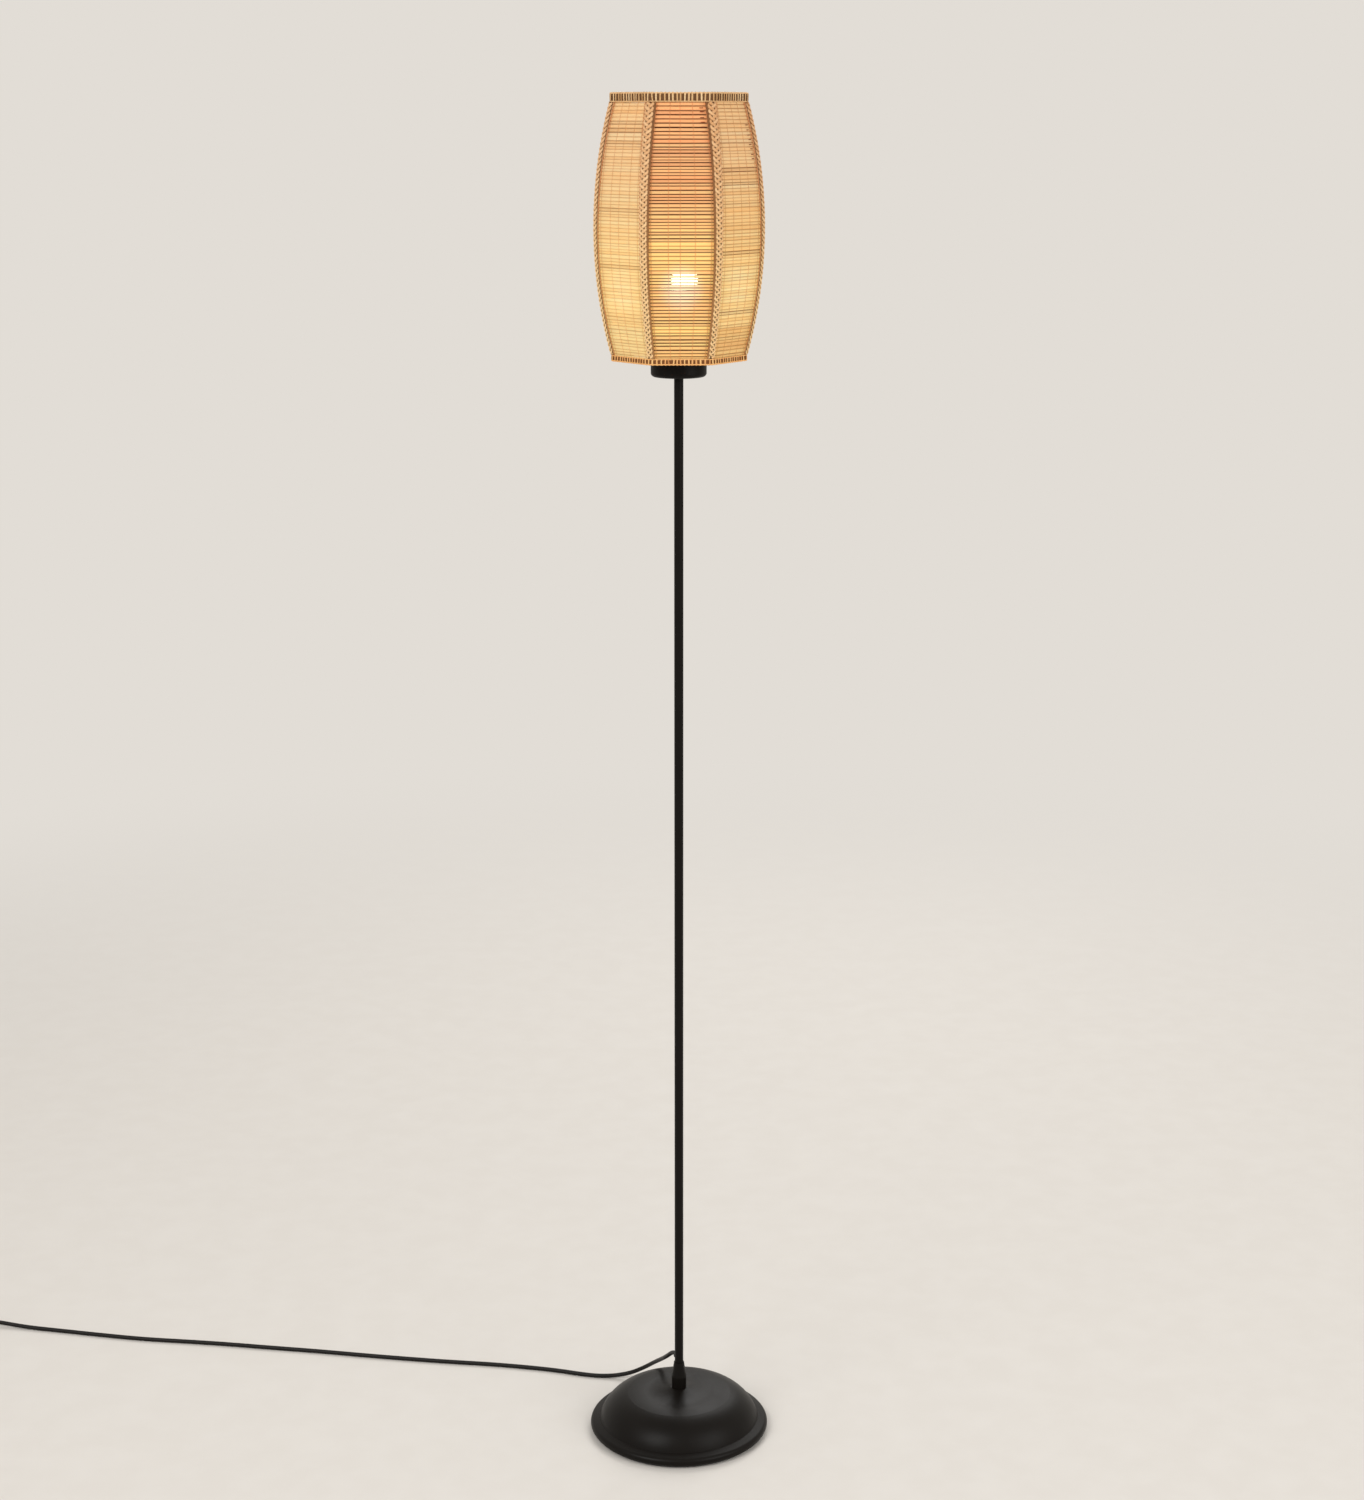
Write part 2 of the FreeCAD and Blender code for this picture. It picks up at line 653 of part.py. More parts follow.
def barrel_arc(depth):
    """Lower, middle and upper point of the barrel line, depth inside the panels' outer face."""
    end = END_APOTHEM
    rise = (UPPER_BAND - LOWER_BAND) / 2
    swell = MIDDLE_APOTHEM - end
    radius = (rise**2 + swell**2) / (2 * swell)
    centre = MIDDLE_APOTHEM - radius
    spread = math.asin(rise / radius)
    inside = radius - depth
    reach = inside * math.cos(spread)
    lift = inside * math.sin(spread)
    low = (centre + reach, SHADE_MIDDLE - lift)
    high = (centre + reach, SHADE_MIDDLE + lift)
    return low, (centre + inside, SHADE_MIDDLE), high


def at_side(shape, number, extra=0.0):
    """Copy of a piece made facing +X, turned to face one side of the shade."""
    placed = shape.copy()
    placed.rotate(ORIGIN, UP, SHADE_TURN + (number + extra) * 360 / SIDES - 90)
    return placed


def panel_layer(inner_depth, outer_depth, low, high):
    """Slab of the barrel wall between two depths and two heights, longer than a panel is wide."""
    inside = barrel_arc(inner_depth)
    outside = barrel_arc(outer_depth)
    steps = []
    if high > UPPER_BAND:
        steps += [(outside[2][0], high), (inside[2][0], high)]
    steps += [inside[2], (inside[1], inside[0])]
    if low < LOWER_BAND:
        steps += [(inside[0][0], low), (outside[0][0], low)]
    face = outline(outside[0], (outside[1], outside[2]), *steps)
    width = 2.4 * MIDDLE_APOTHEM * math.tan(HALF_SIDE)
    slab = face.extrude(Vector(0, width, 0))
    slab.translate(Vector(0, -width / 2, 0))
    return slab


def side_wedge(gap):
    """Upright wedge that holds one side of the shade, gap short of its two corner planes."""
    start = gap / math.sin(HALF_SIDE)
    reach = 2 * MIDDLE_APOTHEM
    half = (reach - start) * math.tan(HALF_SIDE)
    points = [Vector(start, 0, 0), Vector(reach, -half, 0), Vector(reach, half, 0), Vector(start, 0, 0)]
    wedge = Part.Face(Part.makePolygon(points)).extrude(UP * (2 * SHADE_HEIGHT))
    wedge.translate(UP * (SHADE_BOTTOM - SHADE_HEIGHT / 2))
    return wedge


def many_sided(apothem, low, high):
    """Prism with the shade's plan and the given apothem."""
    corner = apothem / math.cos(HALF_SIDE)
    angles = [math.radians(SHADE_TURN - 90) + HALF_SIDE * (2 * i + 1) for i in range(SIDES + 1)]
    points = [Vector(corner * math.cos(a), corner * math.sin(a), low) for a in angles]
    return Part.Face(Part.makePolygon(points)).extrude(UP * (high - low))


def ring_wire(apothem, height):
    """Round wire bent to the shade's plan, with rounded corners."""
    corner = apothem / math.cos(HALF_SIDE)
    straight = RING_CORNER * math.tan(HALF_SIDE)
    edges = []
    start_face = None
    for i in range(SIDES):
        angle = math.radians(SHADE_TURN - 90) + HALF_SIDE * (2 * i + 1)
        bend = Vector(corner * math.cos(angle), corner * math.sin(angle), height)
        coming = Vector(-math.sin(angle - HALF_SIDE), math.cos(angle - HALF_SIDE), 0)
        going = Vector(-math.sin(angle + HALF_SIDE), math.cos(angle + HALF_SIDE), 0)
        enter = bend - coming * straight
        leave = bend + going * straight
        edges.append(arc_between(enter, coming, leave))
        run = 2 * (apothem * math.tan(HALF_SIDE) - straight)
        edges.append(Part.LineSegment(leave, leave + going * run).toShape())
        if start_face is None:
            start_face = (enter, coming)
    circle = Part.Wire(Part.Circle(start_face[0], start_face[1], RING_WIRE).toShape())
    return Part.Wire(edges).makePipeShell([circle], True, False)


def build_shade():
    """Wire frame, seven bamboo mats, the plaited strips over their joints and the bound edges."""
    lip_low = SHADE_BOTTOM + BINDING_LIP
    lip_high = SHADE_TOP - BINDING_LIP
    panel = panel_layer(PANEL, 0, lip_low + BUTT, lip_high - BUTT).common(side_wedge(SLIP))
    strip = panel_layer(-BUTT, -TRIM, LOWER_BAND, UPPER_BAND)
    corner_plane = Vector(-math.sin(HALF_SIDE), math.cos(HALF_SIDE), 0)
    beside = Part.makeBox(
        2 * MIDDLE_APOTHEM,
        TRIM_WIDTH / 2,
        UPPER_BAND - LOWER_BAND - 2 * BUTT,
        Vector(0, -TRIM_WIDTH / 2, LOWER_BAND + BUTT),
    )
    beside.rotate(ORIGIN, UP, math.degrees(HALF_SIDE))
    half_trim = strip.common(beside)
    trim = half_trim.fuse(half_trim.mirror(ORIGIN, corner_plane)).removeSplitter()
    for i in range(SIDES):
        save(f"bamboo_panel_{i + 1}", at_side(panel, i))
        save(f"corner_trim_{i + 1}", at_side(trim, i))

    for name, low, high, lip in (
        ("bottom_binding", SHADE_BOTTOM, LOWER_BAND, (SHADE_BOTTOM, lip_low)),
        ("top_binding", UPPER_BAND, SHADE_TOP, (lip_high, SHADE_TOP)),
    ):
        band = many_sided(END_APOTHEM + BINDING, low, high).cut(many_sided(END_APOTHEM + BUTT, low, high))
        edge = many_sided(END_APOTHEM + BINDING, *lip).cut(many_sided(END_APOTHEM - BINDING_REACH, *lip))
        save(name, band.fuse(edge).removeSplitter())

    ring_apothem = END_APOTHEM - PANEL - SLIP - RING_WIRE
    low_ring_height = lip_low + BUTT + RING_WIRE
    high_ring_height = lip_high - BUTT - RING_WIRE
    low_ring = ring_wire(ring_apothem, low_ring_height)
    high_ring = ring_wire(ring_apothem, high_ring_height)
    save("frame_bottom_ring", low_ring)
    save("frame_top_ring", high_ring)

    low, middle, high = barrel_arc(PANEL + SLIP + RIB_WIRE)
    out = 1 / math.cos(HALF_SIDE)
    rise = RING_WIRE / 2
    foot = Vector(low[0] * out, 0, low_ring_height + rise)
    head = Vector(high[0] * out, 0, high_ring_height - rise)
    lower = Vector(low[0] * out, 0, low[1])
    upper = Vector(high[0] * out, 0, high[1])
    edges = [
        Part.LineSegment(foot, lower).toShape(),
        Part.Arc(lower, Vector(middle[0] * out, 0, middle[1]), upper).toShape(),
        Part.LineSegment(upper, head).toShape(),
    ]
    circle = Part.Wire(Part.Circle(foot, UP, RIB_WIRE).toShape())
    rib = Part.Wire(edges).makePipeShell([circle], True, False, 2)
    ribs = [at_side(rib, i, 0.5).cut(low_ring).cut(high_ring) for i in range(SIDES)]
    save("frame_ribs", *[largest(shape) for shape in ribs])

    flange_low = DISH_RIM
    collar_outside = DISH_RADIUS - DISH_WALL - FITTER_PLAY
    collar_inside = collar_outside - FITTER_WALL
    flange_outside = collar_inside + FLANGE_WIDTH
    fitter = turned(
        (collar_inside, flange_low - FITTER_DEPTH),
        (collar_outside, flange_low - FITTER_DEPTH),
        (collar_outside, flange_low + BUTT),
        (flange_outside, flange_low + BUTT),
        (flange_outside, flange_low + FLANGE),
        (collar_inside, flange_low + FLANGE),
    )
    save("shade_fitter", fitter)

    arm_height = flange_low + FLANGE + SLIP + ARM_WIRE
    arm_start = collar_outside + ARM_WIRE
    ring_plan = many_sided(ring_apothem, arm_height - 2 * ARM_WIRE, arm_height + 2 * ARM_WIRE)
    arms = []
    for i in range(ARM_COUNT):
        start = Vector(arm_start, 0, arm_height)
        arm_length = ring_apothem / math.cos(HALF_SIDE) - arm_start
        arm = Part.makeCylinder(ARM_WIRE, arm_length, start, Vector(1, 0, 0))
        arm.rotate(ORIGIN, UP, SHADE_TURN - 90 + i * 360 / ARM_COUNT)
        arms.append(arm.common(ring_plan).cut(low_ring))
    save("shade_arms", *arms)


def largest(shape):
    """The biggest solid of a cut."""
    return max(shape.Solids, key=lambda s: s.Volume)


def build_cord():
    """Free cord from the pole to the switch: down behind the base and away over the floor."""
    exit_face = Vector(0, 0, EXIT_HEIGHT) + EXIT_DIRECTION * EXIT_FACE
    last = SWITCH_INLET + Vector(LAST_RUN, 0, 0)
    run_end = Vector(0, 0, EXIT_HEIGHT) + EXIT_DIRECTION * EXIT_RUN
    points = [exit_face, run_end, *[Vector(*p) for p in CORD_POINTS], last, SWITCH_INLET]
    save("cord_run", laid_cord(points))


def build_switch():
    """Rocker switch in the cord: two screwed half shells, the rocker on its pivots and two contact strips."""
    middle = SWITCH_MIDDLE
    low = SWITCH_FLOOR_GAP
    body = block(SWITCH_LENGTH, SWITCH_WIDTH, low, SWITCH_TOP, middle)
    body = body.makeFillet(SWITCH_ROUND, [e for e in body.Edges if is_top_or_upright(e)])
    hollow_length = SWITCH_LENGTH - 2 * SWITCH_END
    hollow_width = SWITCH_WIDTH - 2 * SWITCH_WALL
    hollow = block(hollow_length, hollow_width, low + SWITCH_PLATE, SWITCH_TOP - SWITCH_PLATE, middle)
    mouth_length = ROCKER_LENGTH + 2 * ROCKER_ROOM
    mouth_width = ROCKER_WIDTH + 2 * ROCKER_ROOM
    mouth = block(mouth_length, mouth_width, SWITCH_AXIS, 2 * SWITCH_TOP, middle)
    body = body.cut(hollow).cut(mouth)
    pivot = middle + Vector(0, 0, ROCKER_PIVOT)
    half_pin = ROCKER_WIDTH / 2 + PIVOT_LENGTH
    pin_start = pivot - Vector(0, half_pin, 0)
    bore_start = pin_start - Vector(0, SLIP, 0)
    body = body.cut(Part.makeCylinder(PIVOT_RADIUS + RUN, 2 * (half_pin + SLIP), bore_start, Vector(0, 1, 0)))

    screw_places = [middle + Vector(side * (SWITCH_LENGTH - SWITCH_END) / 2, 0, low) for side in (-1, 1)]
    screws = []
    for place in screw_places:
        shank = Part.makeCylinder(SWITCH_SCREW_RADIUS, SWITCH_SCREW_LENGTH, place)
        head = Part.makeCylinder(SWITCH_SCREW_HEAD, SWITCH_SCREW_HEAD_HEIGHT, place)
        screws.append(shank.fuse(head))
        body = body.cut(Part.makeCylinder(SWITCH_SCREW_RADIUS + SLIP, SWITCH_SCREW_LENGTH + SLIP, place))
        body = body.cut(Part.makeCylinder(SWITCH_SCREW_HEAD + SLIP, SWITCH_SCREW_HEAD_HEIGHT, place))
    lower_half = block(SWITCH_LENGTH, SWITCH_WIDTH, low, SWITCH_AXIS, middle)
    save("switch_base", body.common(lower_half))
    save("switch_cover", body.cut(lower_half))
    save("switch_screws", *screws)

    half = ROCKER_LENGTH / 2
    rocker = outline(
        (-half, 0),
        (-half / 3, -ROCKER_KEEL),
        (half / 3, -ROCKER_KEEL),
        (half, 0),
        (half, ROCKER_END_RISE),
        ((0, ROCKER_MIDDLE_RISE), (-half, ROCKER_END_RISE)),
    ).extrude(Vector(0, ROCKER_WIDTH, 0))
    rocker.translate(Vector(0, -ROCKER_WIDTH / 2, 0))
    pin = Part.makeCylinder(PIVOT_RADIUS, 2 * half_pin, Vector(0, -half_pin, 0), Vector(0, 1, 0))
    rocker = rocker.fuse(pin)
    rocker.rotate(ORIGIN, Vector(0, 1, 0), ROCKER_TILT)
    rocker.translate(pivot)
    save("switch_rocker", rocker)

    strip_low = low + SWITCH_PLATE
    strip_place = (hollow_length - STRIP_LENGTH) / 2
    strips = []
    for side in (-1, 1):
        place = middle + Vector(side * strip_place, 0, 0)
        strips.append(block(STRIP_LENGTH, STRIP_WIDTH, strip_low, strip_low + STRIP_HEIGHT, place))
    save("switch_contacts", *strips)


def is_top_or_upright(edge):
    """True for a box edge of the switch's top, or an upright one."""
    start, end = (v.Point for v in edge.Vertexes)
    upright = abs(end.z - start.z) > edge.Length / 2
    return upright or min(start.z, end.z) > SWITCH_AXIS


def coil_place(turn):
    """Distance from the coil's middle and height of the cord after so many turns."""
    reach = COIL_TURNS + 0.25
    travelled = turn if turn <= reach else 2 * reach - turn
    outer = COIL_RADIUS + COIL_STEP * COIL_TURNS / 2
    climb = min(max((turn - COIL_TURNS) / 0.5, 0), 1)
    return outer - COIL_STEP * travelled, CORD_RADIUS + COIL_LIFT + COIL_STEP * climb


def coil_point(centre, turn):
    """Point of the coil, which starts at its far side and runs anticlockwise seen from above."""
    radius, height = coil_place(turn)
    angle = math.pi / 2 + 2 * math.pi * turn
    return centre + Vector(radius * math.cos(angle), radius * math.sin(angle), height)


def coil_heading(centre, turn):
    """Direction of the cord there, worked out over a short step."""
    step = 1e-4
    return (coil_point(centre, turn + step) - coil_point(centre, turn - step)).normalize()


def least_gap(points):
    """Smallest room between stretches of the cord that are not neighbours along it."""
    spacing = (points[1] - points[0]).Length
    skip = int(4 * CORD_RADIUS / spacing) + 1
    gap = 1e9
    for i, point in enumerate(points):
        for other in points[i + skip :]:
            gap = min(gap, (other - point).Length)
    return gap - 2 * CORD_RADIUS


def build_coil_and_plug():
    """Spare cord wound in two flat layers, in under a tie, with the moulded plug beside it."""
    total = 2 * COIL_TURNS + 0.5
    outer = coil_place(0)[0]
    centre = Vector(SWITCH_OUTLET.x - COIL_LEAD, SWITCH_OUTLET.y - outer, 0)
    west = Vector(-1, 0, 0)
    east = Vector(1, 0, 0)
    straight = 2 * CORD_RADIUS
    after_switch = SWITCH_OUTLET + west * straight
    knots = [(after_switch, west)]
    quarters = int(round(total * 4))
    knots += [(coil_point(centre, i / 4), coil_heading(centre, i / 4)) for i in range(quarters + 1)]
    last = knots[-1][0]
    before_plug = Vector(last.x + PLUG_LEAD, last.y, last.z)
    knots.append((before_plug, east))
    plug_face = before_plug + east * straight
    edges = [Part.LineSegment(SWITCH_OUTLET, after_switch).toShape()]
    for (start, leaving), (end, arriving) in zip(knots, knots[1:]):
        edges += biarc(start, leaving, end, arriving)
    edges.append(Part.LineSegment(before_plug, plug_face).toShape())
    coil, path = round_cord(edges, SWITCH_OUTLET, west)
    save("cord_coil", coil)
    print("coil length", round(path.Length, 1), "volume ratio", round(coil.Volume / tube_volume(path), 4))
    print("coil least gap", round(least_gap(path.discretize(Distance=1.5)), 2))

    inner_edge = coil_place(COIL_TURNS + 0.25)[0] - CORD_RADIUS - TIE_ROOM
    outer_edge = outer + CORD_RADIUS + TIE_ROOM
    low = COIL_LIFT - TIE_ROOM
    high = COIL_LIFT + COIL_STEP + 2 * CORD_RADIUS + TIE_ROOM
    tie_middle = Vector(centre.x - (inner_edge + outer_edge) / 2, centre.y, 0)
    outside = block(outer_edge - inner_edge + 2 * TIE, TIE_WIDTH, low - TIE, high + TIE, tie_middle)
    inside = block(outer_edge - inner_edge, TIE_WIDTH, low, high, tie_middle)
    save("cord_tie", outside.cut(inside))

    axis = plug_face.z
    relief = Part.makeCone(RELIEF_TIP, RELIEF_RADIUS, RELIEF_LENGTH, plug_face, east)
    body_start = plug_face.x + RELIEF_LENGTH
    body = Part.makeBox(
        PLUG_LENGTH,
        PLUG_WIDTH,
        2 * (axis - PLUG_FLOOR_GAP),
        Vector(body_start, plug_face.y - PLUG_WIDTH / 2, PLUG_FLOOR_GAP),
    )
    body = body.makeFillet(PLUG_ROUND, [e for e in body.Edges if abs(e.tangentAt(0).x) > 0.5])
    half_length = PLUG_LENGTH / 2
    plug_middle = Vector(body_start + half_length, plug_face.y, axis)
    ends = [e for e in body.Edges if abs(abs(e.CenterOfMass.x - plug_middle.x) - half_length) < 1e-6]
    body = body.makeFillet(PLUG_END_ROUND, ends)
    for i in range(GRIP_COUNT):
        along = plug_middle.x + (i - (GRIP_COUNT - 1) / 2) * GRIP_PITCH
        for side in (-1, 1):
            across = plug_middle.y + side * PLUG_WIDTH / 2
            place = Vector(along, across, 0)
            body = body.cut(block(GRIP_WIDTH, 2 * GRIP_DEPTH, 0, 2 * axis, place))
    body = body.fuse(relief)
    pins = []
    for side in (-1, 1):
        root = Vector(body_start + PLUG_LENGTH, plug_face.y + side * PIN_SPACING / 2, axis)
        pin = Part.makeCylinder(PIN_RADIUS, PIN_LENGTH, root, east)
        tip = [e for e in pin.Edges if e.Closed and e.CenterOfMass.x > root.x + PIN_LENGTH / 2]
        pins.append(pin.makeFillet(PIN_RADIUS / 2, tip))
    save("plug_body", body.removeSplitter())
    save("plug_pins", *pins)


os.makedirs("parts", exist_ok=True)
build_base()
build_pole()
build_dish()
build_holder()
build_bulb()
build_shade()
build_cord()
build_switch()
build_coil_and_plug()
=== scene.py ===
"""Looks of a bamboo shade floor lamp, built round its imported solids, in metres and in their frame."""

import math
import random

import bmesh
import bpy
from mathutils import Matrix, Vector


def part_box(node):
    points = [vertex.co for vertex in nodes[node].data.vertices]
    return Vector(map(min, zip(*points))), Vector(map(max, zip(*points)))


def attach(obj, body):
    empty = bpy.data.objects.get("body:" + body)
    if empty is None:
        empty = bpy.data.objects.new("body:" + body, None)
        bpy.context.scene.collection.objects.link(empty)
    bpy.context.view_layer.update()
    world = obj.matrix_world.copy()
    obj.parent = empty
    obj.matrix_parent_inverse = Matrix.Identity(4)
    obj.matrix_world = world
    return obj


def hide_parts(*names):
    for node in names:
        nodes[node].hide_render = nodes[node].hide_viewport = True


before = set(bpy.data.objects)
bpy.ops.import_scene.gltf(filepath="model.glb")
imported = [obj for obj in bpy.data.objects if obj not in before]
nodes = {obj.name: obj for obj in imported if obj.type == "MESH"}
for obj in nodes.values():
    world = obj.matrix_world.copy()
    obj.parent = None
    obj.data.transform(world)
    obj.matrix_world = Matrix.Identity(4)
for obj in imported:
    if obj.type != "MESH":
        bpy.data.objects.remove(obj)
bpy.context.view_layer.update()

# Base
# A spun steel dome with a rolled rim, powder coated black, over a cast iron weight. A felt ring is glued
# under the weight, and a nut and washer on the pole's foot draw dome, weight and collar together.
PATCHES_PER_METRE = 18.0  # slow change of tone and gloss over a finish
PATCH_DETAIL, GRAIN_DETAIL = 3.0, 4.0
FLECK_GAIN = 3.0
GLOSS_SWING = 0.24  # from the dullest patch to the glossiest
SKIN_DEPTH = 0.0004


def add_node(tree, kind, inputs=(), **settings):
    """Adds a shader node, sets its settings, and gives each input a value or a link."""
    made = tree.nodes.new(kind)
    for key, value in settings.items():
        setattr(made, key, value)
    for key, value in dict(inputs).items():
        if isinstance(value, bpy.types.NodeSocket):
            tree.links.new(value, made.inputs[key])
        else:
            made.inputs[key].default_value = value
    return made


def new_group(name, inputs, outputs):
    """Node group with named sockets of a kind each, and its input and output nodes."""
    group = bpy.data.node_groups.new(name, "ShaderNodeTree")
    for in_out, sockets in (("INPUT", inputs), ("OUTPUT", outputs)):
        for label, kind in sockets.items():
            group.interface.new_socket(label, in_out=in_out, socket_type="NodeSocket" + kind)
    return group, group.nodes.new("NodeGroupInput"), group.nodes.new("NodeGroupOutput")


def maths(tree, operation, *values, clamp=False):
    """Result of a sum on values or sockets."""
    inputs = dict(enumerate(values))
    return add_node(tree, "ShaderNodeMath", inputs, operation=operation, use_clamp=clamp).outputs[0]


def mixed(tree, share, first, second, blend="MIX"):
    """Colour that a share of the second gives over the first."""
    inputs = {0: share, 6: first, 7: second}
    return add_node(tree, "ShaderNodeMix", inputs, data_type="RGBA", blend_type=blend).outputs[2]


def srgb(red, green, blue):
    """Linear colour of an 8-bit screen colour."""
    parts = [c / 255 for c in (red, green, blue)]
    return tuple(c / 12.92 if c <= 0.04045 else ((c + 0.055) / 1.055) ** 2.4 for c in parts) + (1.0,)


def speckle_group():
    """Uneven tone, uneven gloss and a fine skin, as on paint, castings, felt and mouldings."""
    group, given, result = new_group(
        "speckled skin",
        {"Colour": "Color", "Fleck": "Color", "Grain": "Float", "Unevenness": "Float", "Gloss loss": "Float",
         "Skin": "Float"},
        {"Colour": "Color", "Roughness": "Float", "Normal": "Vector"})
    place = add_node(group, "ShaderNodeTexCoord").outputs["Object"]
    grain_inputs = {"Vector": place, "Scale": given.outputs["Grain"], "Detail": GRAIN_DETAIL}
    grain = add_node(group, "ShaderNodeTexNoise", grain_inputs).outputs["Fac"]
    patch_inputs = {"Vector": place, "Scale": PATCHES_PER_METRE, "Detail": PATCH_DETAIL}
    patches = add_node(group, "ShaderNodeTexNoise", patch_inputs).outputs["Fac"]
    flecks = maths(group, "MULTIPLY", maths(group, "MULTIPLY", grain, patches), FLECK_GAIN, clamp=True)
    share = maths(group, "MULTIPLY", flecks, given.outputs["Unevenness"])
    tone = mixed(group, share, given.outputs["Colour"], given.outputs["Fleck"])
    swing = maths(group, "MULTIPLY_ADD", patches, GLOSS_SWING, given.outputs["Gloss loss"])
    dull = maths(group, "SUBTRACT", swing, GLOSS_SWING / 2, clamp=True)
    skin = add_node(group, "ShaderNodeBump",
                    {"Height": grain, "Strength": given.outputs["Skin"], "Distance": SKIN_DEPTH})
    group.links.new(tone, result.inputs["Colour"])
    group.links.new(dull, result.inputs["Roughness"])
    group.links.new(skin.outputs["Normal"], result.inputs["Normal"])
    return group


speckled_skin = speckle_group()


def speckled(name, colour, fleck, grain, unevenness, roughness, skin, fixed=()):
    """Material with the speckled skin, its grain in specks per metre, and fixed values set on its shader."""
    material = bpy.data.materials.new(name)
    material.use_nodes = True
    tree = material.node_tree
    shader = tree.nodes["Principled BSDF"]
    for key, value in dict(fixed).items():
        shader.inputs[key].default_value = value
    coat = add_node(tree, "ShaderNodeGroup",
                    {"Colour": colour, "Fleck": fleck, "Grain": grain, "Unevenness": unevenness,
                     "Gloss loss": roughness, "Skin": skin}, node_tree=speckled_skin)
    for output, socket in (("Colour", "Base Color"), ("Roughness", "Roughness"), ("Normal", "Normal")):
        tree.links.new(coat.outputs[output], shader.inputs[socket])
    return material


def finish_nodes(material, *names):
    """Gives solids that show as they are a finish."""
    for name in names:
        for slot in nodes[name].material_slots:
            slot.material = material


powder_coat = speckled("black powder coat", srgb(10, 8, 6), srgb(24, 19, 15), grain=1400.0, unevenness=0.35,
                       roughness=0.40, skin=0.10, fixed={"Specular IOR Level": 0.12})
cast_iron = speckled("cast iron", srgb(70, 68, 66), srgb(104, 84, 66), grain=260.0, unevenness=0.8,
                     roughness=0.72, skin=0.6, fixed={"Metallic": 0.7})
felt = speckled("black felt", srgb(22, 22, 23), srgb(62, 60, 58), grain=2600.0, unevenness=0.9,
                roughness=0.95, skin=1.0, fixed={"Sheen Weight": 0.5})
zinc = speckled("zinc plate", srgb(172, 172, 166), srgb(206, 203, 190), grain=600.0, unevenness=0.5,
                roughness=0.34, skin=0.08, fixed={"Metallic": 1.0})
finish_nodes(powder_coat, "base_shell", "foot_collar")
finish_nodes(cast_iron, "base_weight")
finish_nodes(felt, "base_felt")
finish_nodes(zinc, "base_washer", "base_nut")

# Pole
# Two lengths of thin steel tube, powder coated like the base, pushed end to end over a zinc plated sleeve.
# A rubber grommet lines the hole low in the back where the cord comes out.
grommet_rubber = speckled("grommet rubber", srgb(20, 19, 18), srgb(40, 38, 36), grain=900.0, unevenness=0.5,
                          roughness=0.62, skin=0.3)
finish_nodes(powder_coat, "pole_lower", "pole_upper")
finish_nodes(zinc, "pole_joiner")
finish_nodes(grommet_rubber, "cord_grommet")

# Cord
# A round black mains lead about two metres long. It leaves the grommet, drops behind the dome, runs off over
# the floor, passes through a hand switch, and its spare length is coiled under a tie, up to the plug.
CORD_RADIUS = 0.0025
CORD_EXIT = (-0.00236, 0.00584, 0.088)
CORD_ROUTE = [
    CORD_EXIT,
    (-0.00599, 0.01483, 0.088),
    (-0.0145, 0.036, 0.0705),
    (-0.0215, 0.066, 0.0515),
    (-0.0295, 0.089, 0.036),
    (-0.041, 0.1045, 0.0215),
    (-0.057, 0.1135, 0.0095),
    (-0.076, 0.117, 0.0036),
    (-0.097, 0.1175, 0.0026),
    (-0.120, 0.1225, 0.0026),
    (-0.149, 0.132, 0.0026),
    (-0.187, 0.1405, 0.0026),
    (-0.233, 0.1485, 0.0026),
    (-0.287, 0.155, 0.0026),
    (-0.342, 0.1635, 0.0026),
    (-0.397, 0.173, 0.0026),
    (-0.453, 0.1835, 0.0026),
    (-0.508, 0.192, 0.0026),
    (-0.563, 0.2015, 0.0026),
    (-0.617, 0.209, 0.0026),
    (-0.673, 0.2155, 0.0026),
    (-0.730, 0.227, 0.0026),
    (-0.784, 0.239, 0.0026),
    (-0.828, 0.248, 0.0029),
    (-0.856, 0.255, 0.0046),
    (-0.875, 0.2585, 0.006),
    (-0.886, 0.2585, 0.006),
    (-0.948, 0.2585, 0.006),
    (-0.953, 0.2585, 0.006),
]
COIL_MIDDLE = (-0.991, 0.223)
COIL_OUTER = 0.0355
COIL_STEP = 0.0056  # between turns, across and up
COIL_LAYER_TURNS = 2.5
COIL_CLIMB_TURNS = 0.5
COIL_HEIGHT = 0.0038
POINTS_PER_TURN = 16
SPLINE_PULL = math.cos(math.pi / POINTS_PER_TURN) ** 0.5  # the spline's radius, as a share of its points'
PLUG_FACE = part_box("plug_body")[0][0]
PLUG_LEAD = 0.005  # straight run into the plug


def held(value, low=0.0, high=1.0):
    """Value kept between two limits."""
    return min(max(value, low), high)


def coil_points():
    """Turns of the coil: in over the lower layer, up half a turn, and out over the upper one."""
    points = []
    turns = 2 * COIL_LAYER_TURNS + COIL_CLIMB_TURNS
    for i in range(round(turns * POINTS_PER_TURN) + 1):
        turn = i / POINTS_PER_TURN
        turns_in = turns / 2 - abs(turn - turns / 2)
        climb = held((turn - COIL_LAYER_TURNS) / COIL_CLIMB_TURNS)
        radius = (COIL_OUTER - COIL_STEP * turns_in) / SPLINE_PULL
        angle = math.pi / 2 + 2 * math.pi * turn
        points.append((COIL_MIDDLE[0] + radius * math.cos(angle), COIL_MIDDLE[1] + radius * math.sin(angle),
                       COIL_HEIGHT + COIL_STEP * climb))
    return points


